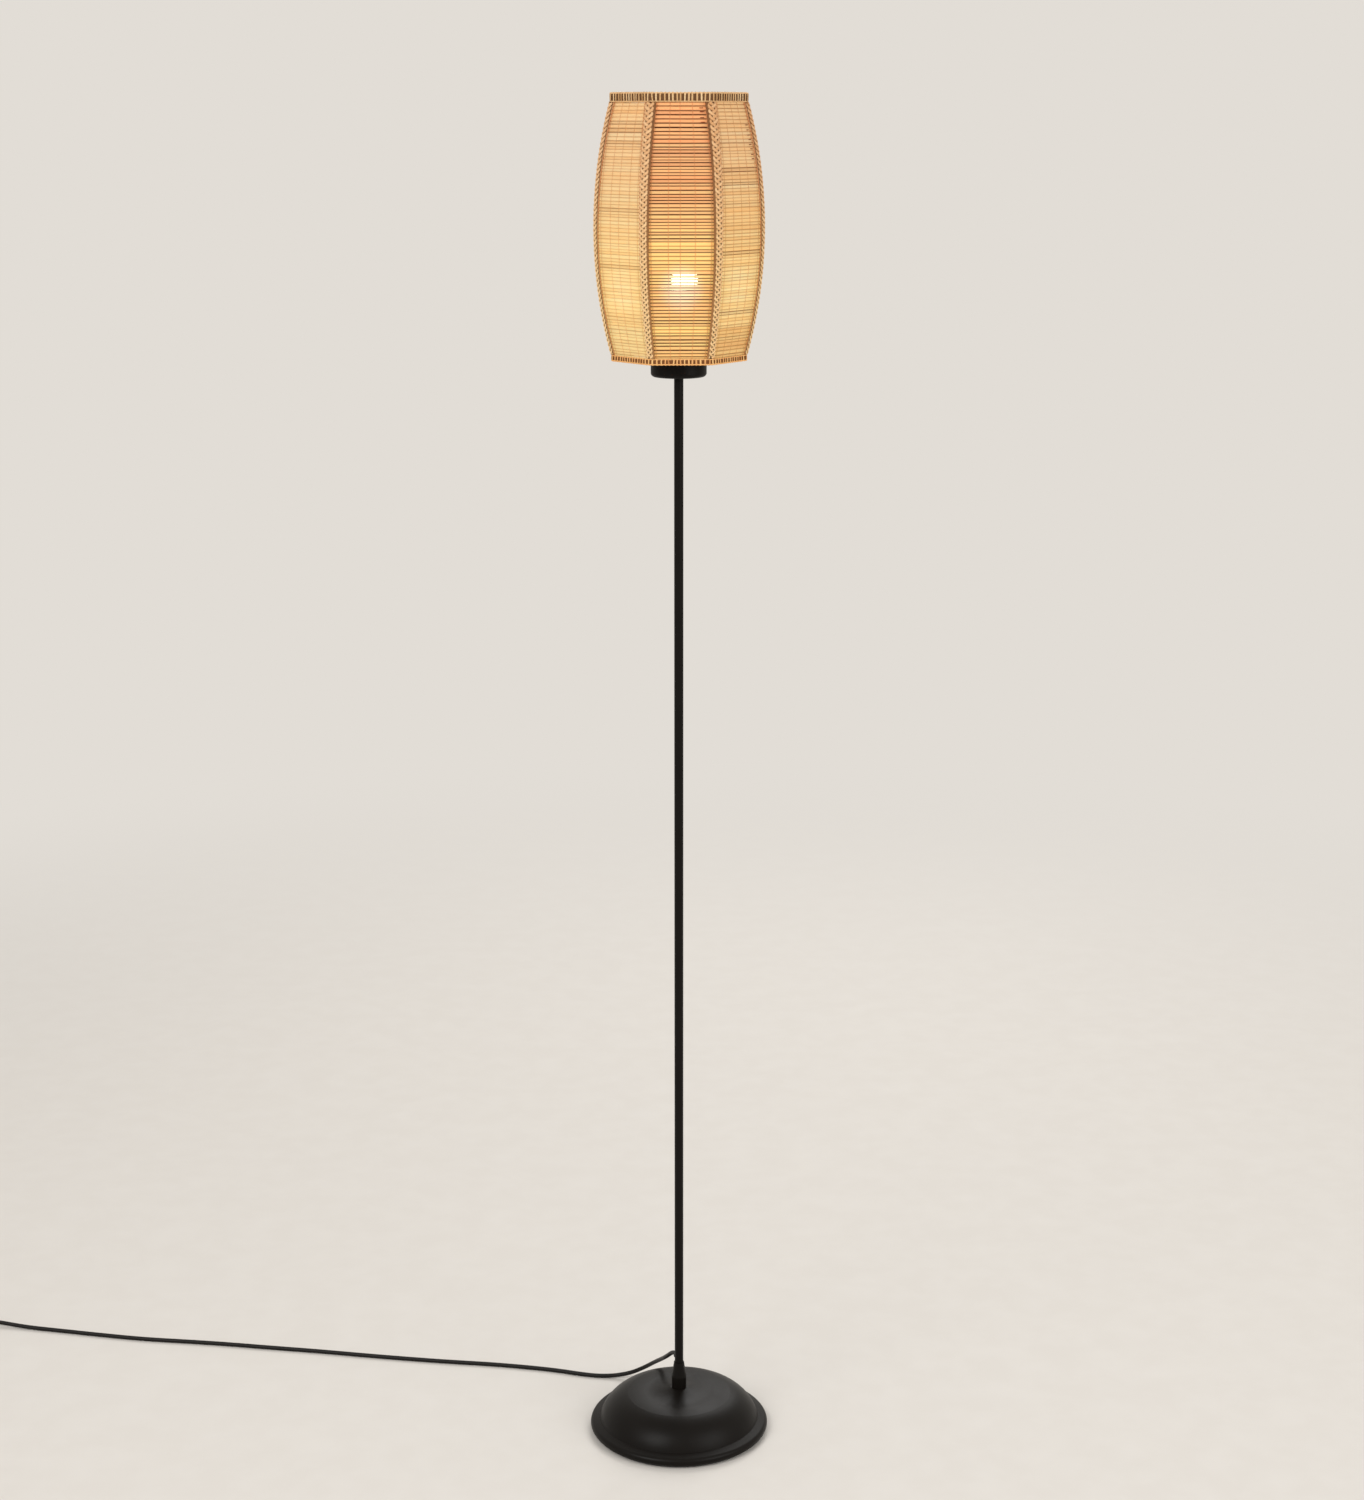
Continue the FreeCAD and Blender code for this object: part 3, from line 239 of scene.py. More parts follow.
def mains_cord(points):
    """Round lead along the points of its route."""
    line = bpy.data.curves.new("mains_cord", "CURVE")
    line.dimensions = "3D"
    line.bevel_depth = CORD_RADIUS
    line.bevel_resolution = 4
    line.resolution_u = 6
    line.use_fill_caps = True
    spline = line.splines.new("NURBS")
    spline.points.add(len(points) - 1)
    for point, place in zip(spline.points, points):
        point.co = (*place, 1.0)
    spline.order_u = 3
    spline.use_endpoint_u = True
    made = bpy.data.objects.new("mains_cord", line)
    bpy.context.scene.collection.objects.link(made)
    return made


coil = coil_points()
_, plug_aside, plug_height = coil[-1]
plug_end = [(PLUG_FACE - PLUG_LEAD, plug_aside, plug_height), (PLUG_FACE, plug_aside, plug_height)]
cord_sheath = speckled("cord sheath", srgb(14, 11, 9), srgb(28, 25, 22), grain=1100.0, unevenness=0.4,
                       roughness=0.46, skin=0.12, fixed={"Specular IOR Level": 0.2})
lead = mains_cord(CORD_ROUTE + coil + plug_end)
lead.data.materials.append(cord_sheath)
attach(lead, "lamp_stand")
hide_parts("cord_run", "cord_coil")
finish_nodes(cord_sheath, "inner_cable")

# Switch and plug
# A two-part moulded hand switch, screwed from below, with a rocker on two pivots over brass strips. The plug
# is moulded on the cord's end with its strain relief, and holds two nickel plated pins.
moulding = speckled("black moulding", srgb(24, 23, 22), srgb(42, 40, 38), grain=700.0, unevenness=0.4,
                    roughness=0.44, skin=0.12)
brass = speckled("brass", srgb(214, 178, 104), srgb(188, 142, 70), grain=420.0, unevenness=0.6,
                 roughness=0.3, skin=0.05, fixed={"Metallic": 1.0})
nickel = speckled("nickel plate", srgb(206, 202, 192), srgb(182, 176, 164), grain=500.0, unevenness=0.5,
                  roughness=0.24, skin=0.04, fixed={"Metallic": 1.0})
finish_nodes(moulding, "switch_base", "switch_cover", "switch_rocker", "plug_body", "cord_tie")
finish_nodes(brass, "switch_contacts")
finish_nodes(zinc, "switch_screws")
finish_nodes(nickel, "plug_pins")

# Dish and lamp holder
# A small spun dish, coated like the pole, is held on the pole's end by a locknut and carries the shade. The
# lamp holder screws on above it: a moulded cap and skirt round a ceramic core with brass shell and contact.
ceramic = speckled("holder ceramic", srgb(228, 224, 212), srgb(204, 197, 180), grain=300.0, unevenness=0.5,
                   roughness=0.4, skin=0.1)
finish_nodes(powder_coat, "shade_dish", "shade_fitter")
finish_nodes(zinc, "dish_locknut", "terminal_screws")
finish_nodes(moulding, "holder_cap", "holder_skirt")
finish_nodes(ceramic, "holder_core")
finish_nodes(brass, "screw_shell", "centre_contact")

# Bulb
# A screw-in bulb: nickel plated cap on a black insulator, white housing, light board, and an opal globe that
# glows warm white. It is lit, so the globe gives its own light, strongest just above the board.
BULB_GLOW = 7.0
(_, _, GLOBE_LOW), (_, _, GLOBE_HIGH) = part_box("bulb_globe")
GLOW_LOW, GLOW_HIGH = (1.0, 0.86, 0.62, 1.0), (0.72, 0.60, 0.42, 1.0)


def ranged(tree, value, start, end, first=0.0, last=1.0, ease="LINEAR"):
    """Value carried from one range to another, and held at its ends."""
    inputs = {0: value, 1: start, 2: end, 3: first, 4: last}
    return add_node(tree, "ShaderNodeMapRange", inputs, interpolation_type=ease).outputs[0]


def light_up(material):
    """Warm white light out of the opal globe, which fades a little towards its top."""
    tree = material.node_tree
    place = add_node(tree, "ShaderNodeTexCoord").outputs["Object"]
    height = add_node(tree, "ShaderNodeSeparateXYZ", {0: place}).outputs["Z"]
    warm = mixed(tree, ranged(tree, height, GLOBE_LOW, GLOBE_HIGH), GLOW_LOW, GLOW_HIGH)
    shader = tree.nodes["Principled BSDF"]
    shader.inputs["Emission Strength"].default_value = BULB_GLOW
    tree.links.new(warm, shader.inputs["Emission Color"])
    return material


bulb_black = speckled("bulb insulator", srgb(20, 18, 17), srgb(44, 40, 38), grain=500.0, unevenness=0.4,
                      roughness=0.2, skin=0.05)
bulb_white = speckled("bulb housing", srgb(236, 230, 214), srgb(222, 212, 190), grain=500.0, unevenness=0.4,
                      roughness=0.42, skin=0.08)
bulb_opal = speckled("lit opal globe", srgb(250, 244, 228), srgb(240, 230, 208), grain=200.0, unevenness=0.4,
                     roughness=0.5, skin=0.03)
board_white = speckled("bulb board", srgb(206, 204, 192), srgb(182, 176, 150), grain=700.0, unevenness=0.5,
                       roughness=0.5, skin=0.1)
finish_nodes(nickel, "bulb_contact", "bulb_cap")
finish_nodes(bulb_black, "bulb_insulator")
finish_nodes(bulb_white, "bulb_housing")
finish_nodes(light_up(bulb_opal), "bulb_globe")
finish_nodes(board_white, "bulb_light_board", "bulb_driver_board")

# Shade frame
# Two rings of bent wire carry the shade's edges, seven bowed ribs stand between them at the corners, and
# three arms join the lower ring to the fitter on the dish. All of it is spot welded and painted black.
frame_paint = speckled("frame paint", srgb(30, 27, 24), srgb(58, 50, 42), grain=900.0, unevenness=0.5,
                       roughness=0.5, skin=0.15)
finish_nodes(frame_paint, "frame_top_ring", "frame_bottom_ring", "frame_ribs", "shade_arms")

# Bamboo mats
# Each side is a mat of split bamboo, laid level and twined with pairs of cotton threads. The splints differ
# in width and tone. Cut edges are darker than the rind, so a brown line shows wherever two splints meet.
UP = Vector((0.0, 0.0, 1.0))
SIDES = 7
CORNER = math.pi / SIDES  # half the angle that a side takes up
FRONT_TURN = math.radians(2.0)
(_, _, SHADE_LOW), (_, _, BAND_LOW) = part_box("bottom_binding")
(_, _, BAND_HIGH), (_, _, SHADE_HIGH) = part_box("top_binding")
BAND_HEIGHT = BAND_HIGH - BAND_LOW
BAND_MIDDLE = (BAND_LOW + BAND_HIGH) / 2
END_APOTHEM, MIDDLE_APOTHEM = 0.0649, 0.0809
BOW = MIDDLE_APOTHEM - END_APOTHEM
BARREL_RADIUS = ((BAND_HEIGHT / 2) ** 2 + BOW**2) / (2 * BOW)


def barrel(height):
    """Distance from the shade's axis to the mats' outer face, and its lean, at a height."""
    if not BAND_LOW < height < BAND_HIGH:
        return END_APOTHEM, 0.0
    rise = height - BAND_MIDDLE
    reach = MIDDLE_APOTHEM - BARREL_RADIUS + math.sqrt(BARREL_RADIUS**2 - rise**2)
    return reach, math.asin(rise / BARREL_RADIUS)


def side_axes(number):
    """Outward and sideways directions of one side of the shade."""
    angle = FRONT_TURN + 2 * CORNER * number - math.pi / 2
    return Vector((math.cos(angle), math.sin(angle), 0.0)), Vector((-math.sin(angle), math.cos(angle), 0.0))


def ring(middle, wide, thick, sides, swell=0.0, twist=0.0):
    """Points round a strand, from half its width and half its thickness. A twisted cord swells by turns."""
    points = []
    for j in range(sides):
        angle = 2 * math.pi * j / sides
        grown = 1 + swell * math.cos(2 * angle - twist)
        points.append(middle + (wide * math.cos(angle) + thick * math.sin(angle)) * grown)
    return points


class Work:
    """Points, faces, tones and cut edges of what is being woven or stitched."""

    def __init__(self):
        self.points, self.faces, self.tones, self.edges = [], [], [], []

    def strand(self, rings, tone, edge=None, closed=False):
        """Strand through rings of points, capped or closed on itself, in one tone or a tone for each ring."""
        first, sides, count = len(self.points), len(rings[0]), len(rings)
        for points, ring_tone in zip(rings, tone if isinstance(tone, list) else [tone] * count):
            self.points += [tuple(point) for point in points]
            self.tones += [ring_tone] * sides
            self.edges += edge if edge else [0.0] * sides
        for i in range(count if closed else count - 1):
            here, ahead = first + i * sides, first + (i + 1) % count * sides
            for j in range(sides):
                self.faces.append((here + j, here + (j + 1) % sides, ahead + (j + 1) % sides, ahead + j))
        if not closed:
            last = first + (count - 1) * sides
            self.faces.append(tuple(range(first, first + sides)))
            self.faces.append(tuple(reversed(range(last, last + sides))))

    def piece(self, name, material, slot, *replaced):
        """Makes the work a piece of the shade."""
        mesh = bpy.data.meshes.new(name)
        mesh.from_pydata(self.points, [], self.faces)
        for label, values in (("tone", self.tones), ("edge", self.edges)):
            mesh.attributes.new(label, "FLOAT", "POINT").data.foreach_set("value", values)
        shape = bmesh.new()
        shape.from_mesh(mesh)
        bmesh.ops.recalc_face_normals(shape, faces=shape.faces)
        shape.to_mesh(mesh)
        shape.free()
        mesh.polygons.foreach_set("use_smooth", [True] * len(mesh.polygons))
        mesh.materials.append(material)
        made = bpy.data.objects.new(name, mesh)
        bpy.context.scene.collection.objects.link(made)
        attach(made, "shade")
        if replaced:
            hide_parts(*replaced)


# Painted light: the bulb's glow through the shade is painted into its emission, yellow near the bulb
# and redder away from it, with a painted halo and a painted bright spot round the bulb's middle.
GLOW_MIDDLE = 1.305  # height from which the painted glow fades up and down
GLOW_NEAR, GLOW_FAR = 0.02, 0.17  # up or down, where the near tint starts to fade and where it ends
TINT_FAR, TINT_NEAR = (0.87, 0.75, 0.73, 1.0), (1.06, 1.13, 0.8, 1.0)
BULB_MIDDLE = (0.0, 0.0, 1.333)
PAINTED_HALO_INNER, PAINTED_HALO_OUTER = 0.0765, 0.085  # from the bulb's middle
PAINTED_HALO_TINT = (1.1, 1.28, 0.98, 1.0)
PAINTED_SPOT_INNER, PAINTED_SPOT_OUTER = 0.0770, 0.0825
PAINTED_SPOT_TINT = (1.3, 2.5, 4.6, 1.0)


def painted_glow_group():
    """Painted glow of the bulb in the shade: yellow beside it, redder away, a painted halo and spot."""
    group, given, result = new_group("painted bulb glow", {"Colour": "Color", "Painted spot": "Float"},
                                     {"Colour": "Color"})
    place = add_node(group, "ShaderNodeTexCoord").outputs["Object"]
    height = add_node(group, "ShaderNodeSeparateXYZ", {0: place}).outputs["Z"]
    away = maths(group, "ABSOLUTE", maths(group, "SUBTRACT", height, GLOW_MIDDLE))
    from_bulb = add_node(group, "ShaderNodeVectorMath", {0: place, 1: BULB_MIDDLE}, operation="DISTANCE")
    reach = from_bulb.outputs["Value"]
    near = ranged(group, away, GLOW_NEAR, GLOW_FAR, 1.0, 0.0, "SMOOTHSTEP")
    halo = ranged(group, reach, PAINTED_HALO_INNER, PAINTED_HALO_OUTER, 1.0, 0.0, "SMOOTHSTEP")
    spot = ranged(group, reach, PAINTED_SPOT_INNER, PAINTED_SPOT_OUTER, 1.0, 0.0, "SMOOTHSTEP")
    tint = mixed(group, near, TINT_FAR, TINT_NEAR)
    tint = mixed(group, halo, tint, PAINTED_HALO_TINT)
    tint = mixed(group, maths(group, "MULTIPLY", spot, given.outputs["Painted spot"]), tint, PAINTED_SPOT_TINT)
    tinted = mixed(group, 1.0, given.outputs["Colour"], tint, "MULTIPLY")
    group.links.new(tinted, result.inputs["Colour"])
    return group


painted_bulb_glow = painted_glow_group()
FIBRE_DETAIL, FIBRE_ROUGHNESS = 5.0, 0.65
STREAK_SHARE = 0.7  # how far the fibres shift a splint's tone
MIDDLE_TONE = 0.5
FIBRE_BUMP, FIBRE_DEPTH = 0.25, 0.0003
BAMBOO_ROUGHNESS, BAMBOO_GLOSS = 0.6, 0.2


def rind_group():
    """Split bamboo or cane: a tone for each splint, fibres along it, and darker cut edges."""
    group, given, result = new_group(
        "split bamboo",
        {"Dark": "Color", "Middle": "Color", "Pale": "Color", "Cut edge": "Color",
         "Fibres per metre": "Vector"},
        {"Colour": "Color", "Normal": "Vector"})
    place = add_node(group, "ShaderNodeTexCoord").outputs["Object"]
    drawn_out = add_node(group, "ShaderNodeMapping",
                         {"Vector": place, "Scale": given.outputs["Fibres per metre"]})
    fibre = add_node(group, "ShaderNodeTexNoise",
                     {"Vector": drawn_out.outputs[0], "Scale": 1.0, "Detail": FIBRE_DETAIL,
                      "Roughness": FIBRE_ROUGHNESS}).outputs["Fac"]
    tone = add_node(group, "ShaderNodeAttribute", attribute_name="tone").outputs["Fac"]
    edge = add_node(group, "ShaderNodeAttribute", attribute_name="edge").outputs["Fac"]
    streak = maths(group, "SUBTRACT", fibre, MIDDLE_TONE)
    toned = maths(group, "MULTIPLY_ADD", streak, STREAK_SHARE, tone)
    past_dark = ranged(group, toned, 0.0, MIDDLE_TONE)
    past_middle = ranged(group, toned, MIDDLE_TONE, 1.0)
    colour = mixed(group, past_dark, given.outputs["Dark"], given.outputs["Middle"])
    colour = mixed(group, past_middle, colour, given.outputs["Pale"])
    colour = mixed(group, edge, colour, given.outputs["Cut edge"])
    skin = add_node(group, "ShaderNodeBump",
                    {"Height": fibre, "Strength": FIBRE_BUMP, "Distance": FIBRE_DEPTH})
    group.links.new(colour, result.inputs["Colour"])
    group.links.new(skin.outputs["Normal"], result.inputs["Normal"])
    return group


split_bamboo = rind_group()


def bamboo(name, dark, middle, pale, cut_edge, fibres, through, lit, straight=0.0):
    """Bamboo or cane with the bulb's glow painted in. Light also comes through, less at cut edges."""
    material = bpy.data.materials.new(name)
    material.use_nodes = True
    tree = material.node_tree
    rind = add_node(tree, "ShaderNodeGroup",
                    {"Dark": dark, "Middle": middle, "Pale": pale, "Cut edge": cut_edge,
                     "Fibres per metre": fibres}, node_tree=split_bamboo)
    painted_glow = add_node(tree, "ShaderNodeGroup", {"Colour": rind.outputs["Colour"], "Painted spot": straight},
                      node_tree=painted_bulb_glow)
    shader = tree.nodes["Principled BSDF"]
    shader.inputs["Roughness"].default_value = BAMBOO_ROUGHNESS
    shader.inputs["Specular IOR Level"].default_value = BAMBOO_GLOSS
    # Painted glow, as strong as lit; straight is the share of the painted bright spot.
    shader.inputs["Emission Strength"].default_value = lit
    tree.links.new(rind.outputs["Colour"], shader.inputs["Base Color"])
    tree.links.new(rind.outputs["Normal"], shader.inputs["Normal"])
    tree.links.new(painted_glow.outputs["Colour"], shader.inputs["Emission Color"])
    edge = add_node(tree, "ShaderNodeAttribute", attribute_name="edge").outputs["Fac"]
    behind = add_node(tree, "ShaderNodeBsdfTranslucent", {"Color": mixed(tree, edge, middle, cut_edge)})
    both = add_node(tree, "ShaderNodeMixShader", {0: through, 1: shader.outputs[0], 2: behind.outputs[0]})
    tree.links.new(both.outputs[0], tree.nodes["Material Output"].inputs["Surface"])
    return material


MAT_MARGIN = 0.0017  # from the shade's edges to the mats' ends
MAT_LOW, MAT_HIGH = SHADE_LOW + MAT_MARGIN, SHADE_HIGH - MAT_MARGIN
CORNER_MARGIN = 0.0007  # left free beside each corner
MAT_SEED = 40
SPLINT_HEIGHTS = (0.0028, 0.0033, 0.0038, 0.0043)
HEIGHT_STRAY = 0.0002
LEVEL_STRAY = 0.00003
DEPTH_MEAN, DEPTH_STRAY = -0.0001, 0.00008
SPLINT_LAP = 0.00006  # neighbours overlap, so that no light shows between them
SPLINT_THICK = 0.0013
# Round a splint: share of half its height, rise over the rind's crown, and how far it is cut edge.
SPLINT_SECTION = [(-1.0, -0.0007, 1.0), (-0.78, -0.00022, 0.95), (-0.54, -0.00007, 0.0),
                  (0.0, 0.0, 0.0), (0.54, -0.00007, 0.0), (0.78, -0.00022, 0.95),
                  (1.0, -0.0007, 1.0), (0.8, -SPLINT_THICK, 0.6), (-0.8, -SPLINT_THICK, 0.6)]
# By mat from the front one: mean and spread of the splints' tone, and how brown the lines between them are.
MAT_TONES = [(0.36, 0.15), (0.72, 0.11), (0.56, 0.15), (0.72, 0.12), (0.50, 0.16), (0.64, 0.13), (0.78, 0.10)]
MAT_LINES = [1.05, 0.42, 0.8, 0.4, 0.9, 0.5, 0.3]
WARM_MATS = (0, 2, 4)
LOWEST_TONE = 0.02
LINE_RANGE = (0.55, 1.2)
# Stretches of paler or ruddier splints, by mat: from, to, tone gained and share of the brown lines.
TONE_RUNS = {0: [(1.342, 1.374, 0.26, 0.7), (1.271, 1.288, 0.26, 0.7)], 1: [(1.247, 1.283, -0.32, 1.3)]}
PAINTED_GLOW_FROM, PAINTED_GLOW_TO = 1.425, 1.405  # heights between which the front mat turns paler: painted glow of the bulb behind it
FRONT_PAINTED_GLOW = 0.28
# Heights of the dark splints in the three mats that face forward. In the others they fall by chance.
DARK_SPLINTS = {0: (1.2735, 1.2888, 1.3211, 1.3635, 1.4313, 1.4521, 1.5026),
                1: (1.2985, 1.3593, 1.4305, 1.4435),
                6: (1.3452, 1.4045, 1.4716, 1.4826, 1.4906)}
DARK_CHANCE = 0.08
DARK_TONE, DARK_LINE = 0.7, 2.2
# Some splints of the front mat are pared thin over a short stretch, and the bulb shines through between them.
PARED_LOW, PARED_HIGH = 1.3285, 1.3385
PARED_MIDDLE, PARED_HALF = 0.0034, 0.0118  # along the splint
PARED_GAP = 0.0010
PARED_ROUNDING = 0.3
PARED_TAPER = 0.07  # share of half the splint's length
THREADS_PER_MAT = 5
THREAD_RADIUS = 0.00024
THREAD_PROUD = 0.00016  # of the splints, outside and behind
THREAD_SIDES = 4
THREAD_SPREAD, THREAD_STRAY = 0.96, 0.05  # shares of half the mat's width
THREAD_TONE, THREAD_EDGE = 0.35, 0.2


def splint_places(chance):
    """Middle and height of each splint, from the lower binding to the upper one."""
    heights = []
    while sum(heights) < MAT_HIGH - MAT_LOW:
        heights.append(chance.choice(SPLINT_HEIGHTS) + chance.uniform(-HEIGHT_STRAY, HEIGHT_STRAY))
    share = (MAT_HIGH - MAT_LOW) / sum(heights)
    places = []
    low = MAT_LOW
    for height in heights:
        places.append((low + height * share / 2, height * share))
        low += height * share
    return places


def splint_look(number, level, height, chance):
    """Tone of a splint's rind, and how brown its cut edges are."""
    tone = held(chance.gauss(*MAT_TONES[number]), LOWEST_TONE)
    if number == 0:
        # Painted glow: the front mat's splints are paler low down, where the bulb is behind them.
        tone = min(tone + FRONT_PAINTED_GLOW * held((PAINTED_GLOW_FROM - level) / (PAINTED_GLOW_FROM - PAINTED_GLOW_TO)), 1.0)
    line = MAT_LINES[number] * chance.uniform(*LINE_RANGE)
    for start, end, gained, lined in TONE_RUNS.get(number, ()):
        if start < level < end:
            tone = held(tone + gained, LOWEST_TONE)
            line *= lined
    dark = chance.random() < DARK_CHANCE
    if number in DARK_SPLINTS:
        dark = any(abs(level - middle) < height / 2 for middle in DARK_SPLINTS[number])
    if dark:
        tone *= DARK_TONE
        line = min(DARK_LINE * MAT_LINES[number], 1.0)
    return tone, line


def splint_steps(number, level, height, half_length):
    """Places along a splint, as shares of half its length, and half its height there."""
    full = (height + SPLINT_LAP) / 2
    if number != 0 or not PARED_LOW < level < PARED_HIGH:
        return [(share, full) for share in (-1.0, -0.5, 0.0, 0.5, 1.0)]
    off_middle = (2 * level - PARED_LOW - PARED_HIGH) / (PARED_HIGH - PARED_LOW)
    pared = PARED_HALF * math.sqrt(1 - PARED_ROUNDING * off_middle**2)
    start, end = (PARED_MIDDLE - pared) / half_length, (PARED_MIDDLE + pared) / half_length
    thin = (height - PARED_GAP) / 2
    return [(-1.0, full), (start - PARED_TAPER, full), (start, thin), (end, thin), (end + PARED_TAPER, full),
            (1.0, full)]


def twine(mat, number, rows, chance):
    """Pairs of threads up a mat. By turns one of a pair lies outside a splint and the other behind it."""
    outward, sideways = side_axes(number)
    edge = THREAD_EDGE * (1 + MAT_LINES[number])
    for column in range(THREADS_PER_MAT):
        share = (2 * (column + 0.5) / THREADS_PER_MAT - 1) * THREAD_SPREAD
        share += chance.uniform(-THREAD_STRAY, THREAD_STRAY)
        for partner in (0, 1):
            line = []
            for i, (middle, upward, normal, half, half_length) in enumerate(rows):
                place = middle + sideways * (share * half_length)
                outside = (i + partner) % 2
                proud = THREAD_PROUD if outside else -SPLINT_THICK - THREAD_PROUD
                beside = THREAD_RADIUS if outside else -THREAD_RADIUS
                line += [place - upward * half - normal * (SPLINT_THICK / 2) + sideways * beside,
                         place - upward * (half / 2) + normal * proud,
                         place + upward * (half / 2) + normal * proud]
            wide, thick = sideways * THREAD_RADIUS, outward * THREAD_RADIUS
            rings = [ring(place, wide, thick, THREAD_SIDES) for place in line]
            mat.strand(rings, THREAD_TONE, [edge] * THREAD_SIDES)


def bamboo_mat(number, chance):
    """Splints of one side, and the threads that hold them."""
    mat = Work()
    outward, sideways = side_axes(number)
    rows = []
    for level, height in splint_places(chance):
        reach, lean = barrel(level)
        normal = outward * math.cos(lean) + UP * math.sin(lean)
        upward = UP * math.cos(lean) - outward * math.sin(lean)
        middle = outward * reach + UP * level
        half_length = reach * math.tan(CORNER) - CORNER_MARGIN
        rows.append((middle, upward, normal, (height + SPLINT_LAP) / 2, half_length))
        tone, line = splint_look(number, level, height, chance)
        rings = []
        for share, half in splint_steps(number, level, height, half_length):
            place = middle + sideways * (share * half_length)
            place += upward * chance.gauss(0.0, LEVEL_STRAY) + normal * chance.gauss(DEPTH_MEAN, DEPTH_STRAY)
            section = [(across * half, rise) for across, rise, _ in SPLINT_SECTION]
            rings.append([place + upward * across + normal * rise for across, rise in section])
        mat.strand(rings, tone, [min(cut * line, 1.0) for _, _, cut in SPLINT_SECTION])
    twine(mat, number, rows, chance)
    return mat


# Warm mats carry a stronger painted glow and the painted bright spot, pale mats a weaker glow.
warm_bamboo = bamboo("warm bamboo", srgb(240, 172, 120), srgb(251, 201, 142), srgb(255, 222, 152),
                     srgb(68, 20, 4), fibres=(60.0, 60.0, 1500.0), through=0.5, lit=0.65, straight=1.0)
pale_bamboo = bamboo("pale bamboo", srgb(216, 160, 108), srgb(236, 205, 151), srgb(239, 225, 181),
                     srgb(120, 60, 28), fibres=(60.0, 60.0, 1500.0), through=0.5, lit=0.525, straight=0.1)
for number in range(SIDES):
    mat = bamboo_mat(number, random.Random(MAT_SEED + number))
    lot = warm_bamboo if number in WARM_MATS else pale_bamboo
    mat.piece(f"bamboo_mat_{number + 1}", lot, "bamboo", f"bamboo_panel_{number + 1}")

# Plaited strips
# A flat three-strand plait of split cane covers each joint between two mats. It is glued to a tape, bends
# over the corner, and is sewn down along both edges with red-brown thread. A brown cord borders warm mats.
STRIP_SEED = 90
CORNER_RADIUS = 0.0012
CORNER_BEND = 0.0016  # over which the strip turns from one mat to the next
TAPE_HALF_LOW, TAPE_HALF_HIGH = 0.0043, 0.0066
TAPE_STEPS = 40
TAPE_BACK, TAPE_FACE = 0.00005, 0.0004  # proud of the mats
TAPE_TONE = 0.6
# Across the tape: share of its half width, and painted shade under the plait.
TAPE_SECTION = [(-1, 0.1), (-0.6, 0.6), (-0.25, 0.95), (0, 0.95), (0.25, 0.95), (0.6, 0.6), (1, 0.1)]
PAINTED_GLOW_BELOW = 0.3  # painted glow: tone gained down to the lower end, beside the bulb
STRANDS = 3
STEPS_PER_TURN = 14
PLAIT_PERIOD = 0.0156
PLAIT_MARGIN = 0.0012
PLAIT_SWING, STRAND_WIDE = 0.58, 0.27  # shares of the tape's half width
STRAND_THICK = 0.0008
PLAIT_PROUD, PLAIT_WAVE = 0.0011, 0.00055  # a strand's middle over the mats, and its rise and fall
STRAND_TONES = (0.55, 0.85)
STRAND_EDGE_SHADE = [0.75, 0.15, 0.0, 0.15, 0.75, 1.0, 1.0, 1.0]  # round a strand: darker cut sides, and painted shade darkest underneath
TWIST_STEPS = 6
CORD_SIDES = 8
BORDER_TWIST = 0.005
BORDER_SWELL = 0.2
BORDER_INSET, BORDER_PROUD = 0.0009, 0.0012
BORDER_WIDE, BORDER_THICK = 0.0013, 0.0010  # halves, as for every strand
BORDER_EDGE = 0.4
SEWN_SIDES = 6
SEWN_PITCH = 0.0034
SEWN_START = 0.15  # share of the pitch
SEWN_RADIUS = 0.00032
SEWN_ASIDE, SEWN_PROUD = 0.0002, 0.0003
# Along a stitch: share of the pitch, and share of its full thickness.
SEWN_PATH = [(0.0, 0.35), (0.18, 0.9), (0.42, 1.0), (0.64, 0.9), (0.78, 0.35)]
SEWN_TONES = (0.2, 0.8)
TIES = {0: (1.506, 6), 1: (1.488, 8), 3: (1.498, 5), 5: (1.470, 6)}  # by corner: highest tie, and how many
TIE_PITCH, TIE_STRAY = 0.0048, 0.0006
TIE_ASIDE = (0.002, 0.0032)
TIE_LENGTH, TIE_RADIUS, TIE_PROUD = 0.0046, 0.0005, 0.0001
# Along a tie: share of its length, and share of its full thickness.
TIE_PATH = [(0.0, 0.3), (0.2, 1.0), (0.5, 0.8), (0.8, 1.0), (1.0, 0.3)]
TIE_TONES, TIE_EDGE = (0.1, 0.5), 0.8


def tape_half(height):
    """Half the width of the plait, which is looser towards the top."""
    return TAPE_HALF_LOW + (TAPE_HALF_HIGH - TAPE_HALF_LOW) * (height - BAND_LOW) / BAND_HEIGHT


def corner_place(number, height, aside, proud):
    """Point over the corner after a side, aside along the mats and proud of them, and the way it faces."""
    outward, across = side_axes(number + 0.5)
    reach, lean = barrel(height)
    bend = CORNER * math.tanh(aside / CORNER_BEND)
    facing = outward * math.cos(bend) + across * math.sin(bend)
    normal = facing.normalized() * math.cos(lean) + UP * math.sin(lean)
    back = math.sin(CORNER) * (math.sqrt(aside**2 + CORNER_RADIUS**2) - CORNER_RADIUS)
    place = outward * (reach / math.cos(CORNER) - back) + across * (aside * math.cos(CORNER)) + UP * height
    return place + normal * proud, normal


def lay_tape(strip, number):
    """Tape under the plait, with painted shade darkest along its middle."""
    rings = []
    for i in range(TAPE_STEPS + 1):
        height = BAND_LOW + BAND_HEIGHT * i / TAPE_STEPS
        asides = [tape_half(height) * share for share, _ in TAPE_SECTION]
        outer = [corner_place(number, height, aside, TAPE_FACE)[0] for aside in asides]
        inner = [corner_place(number, height, aside, TAPE_BACK)[0] for aside in reversed(asides)]
        rings.append(outer + inner)
    shadow = [dark for _, dark in TAPE_SECTION]
    strip.strand(rings, TAPE_TONE, shadow + shadow[::-1])


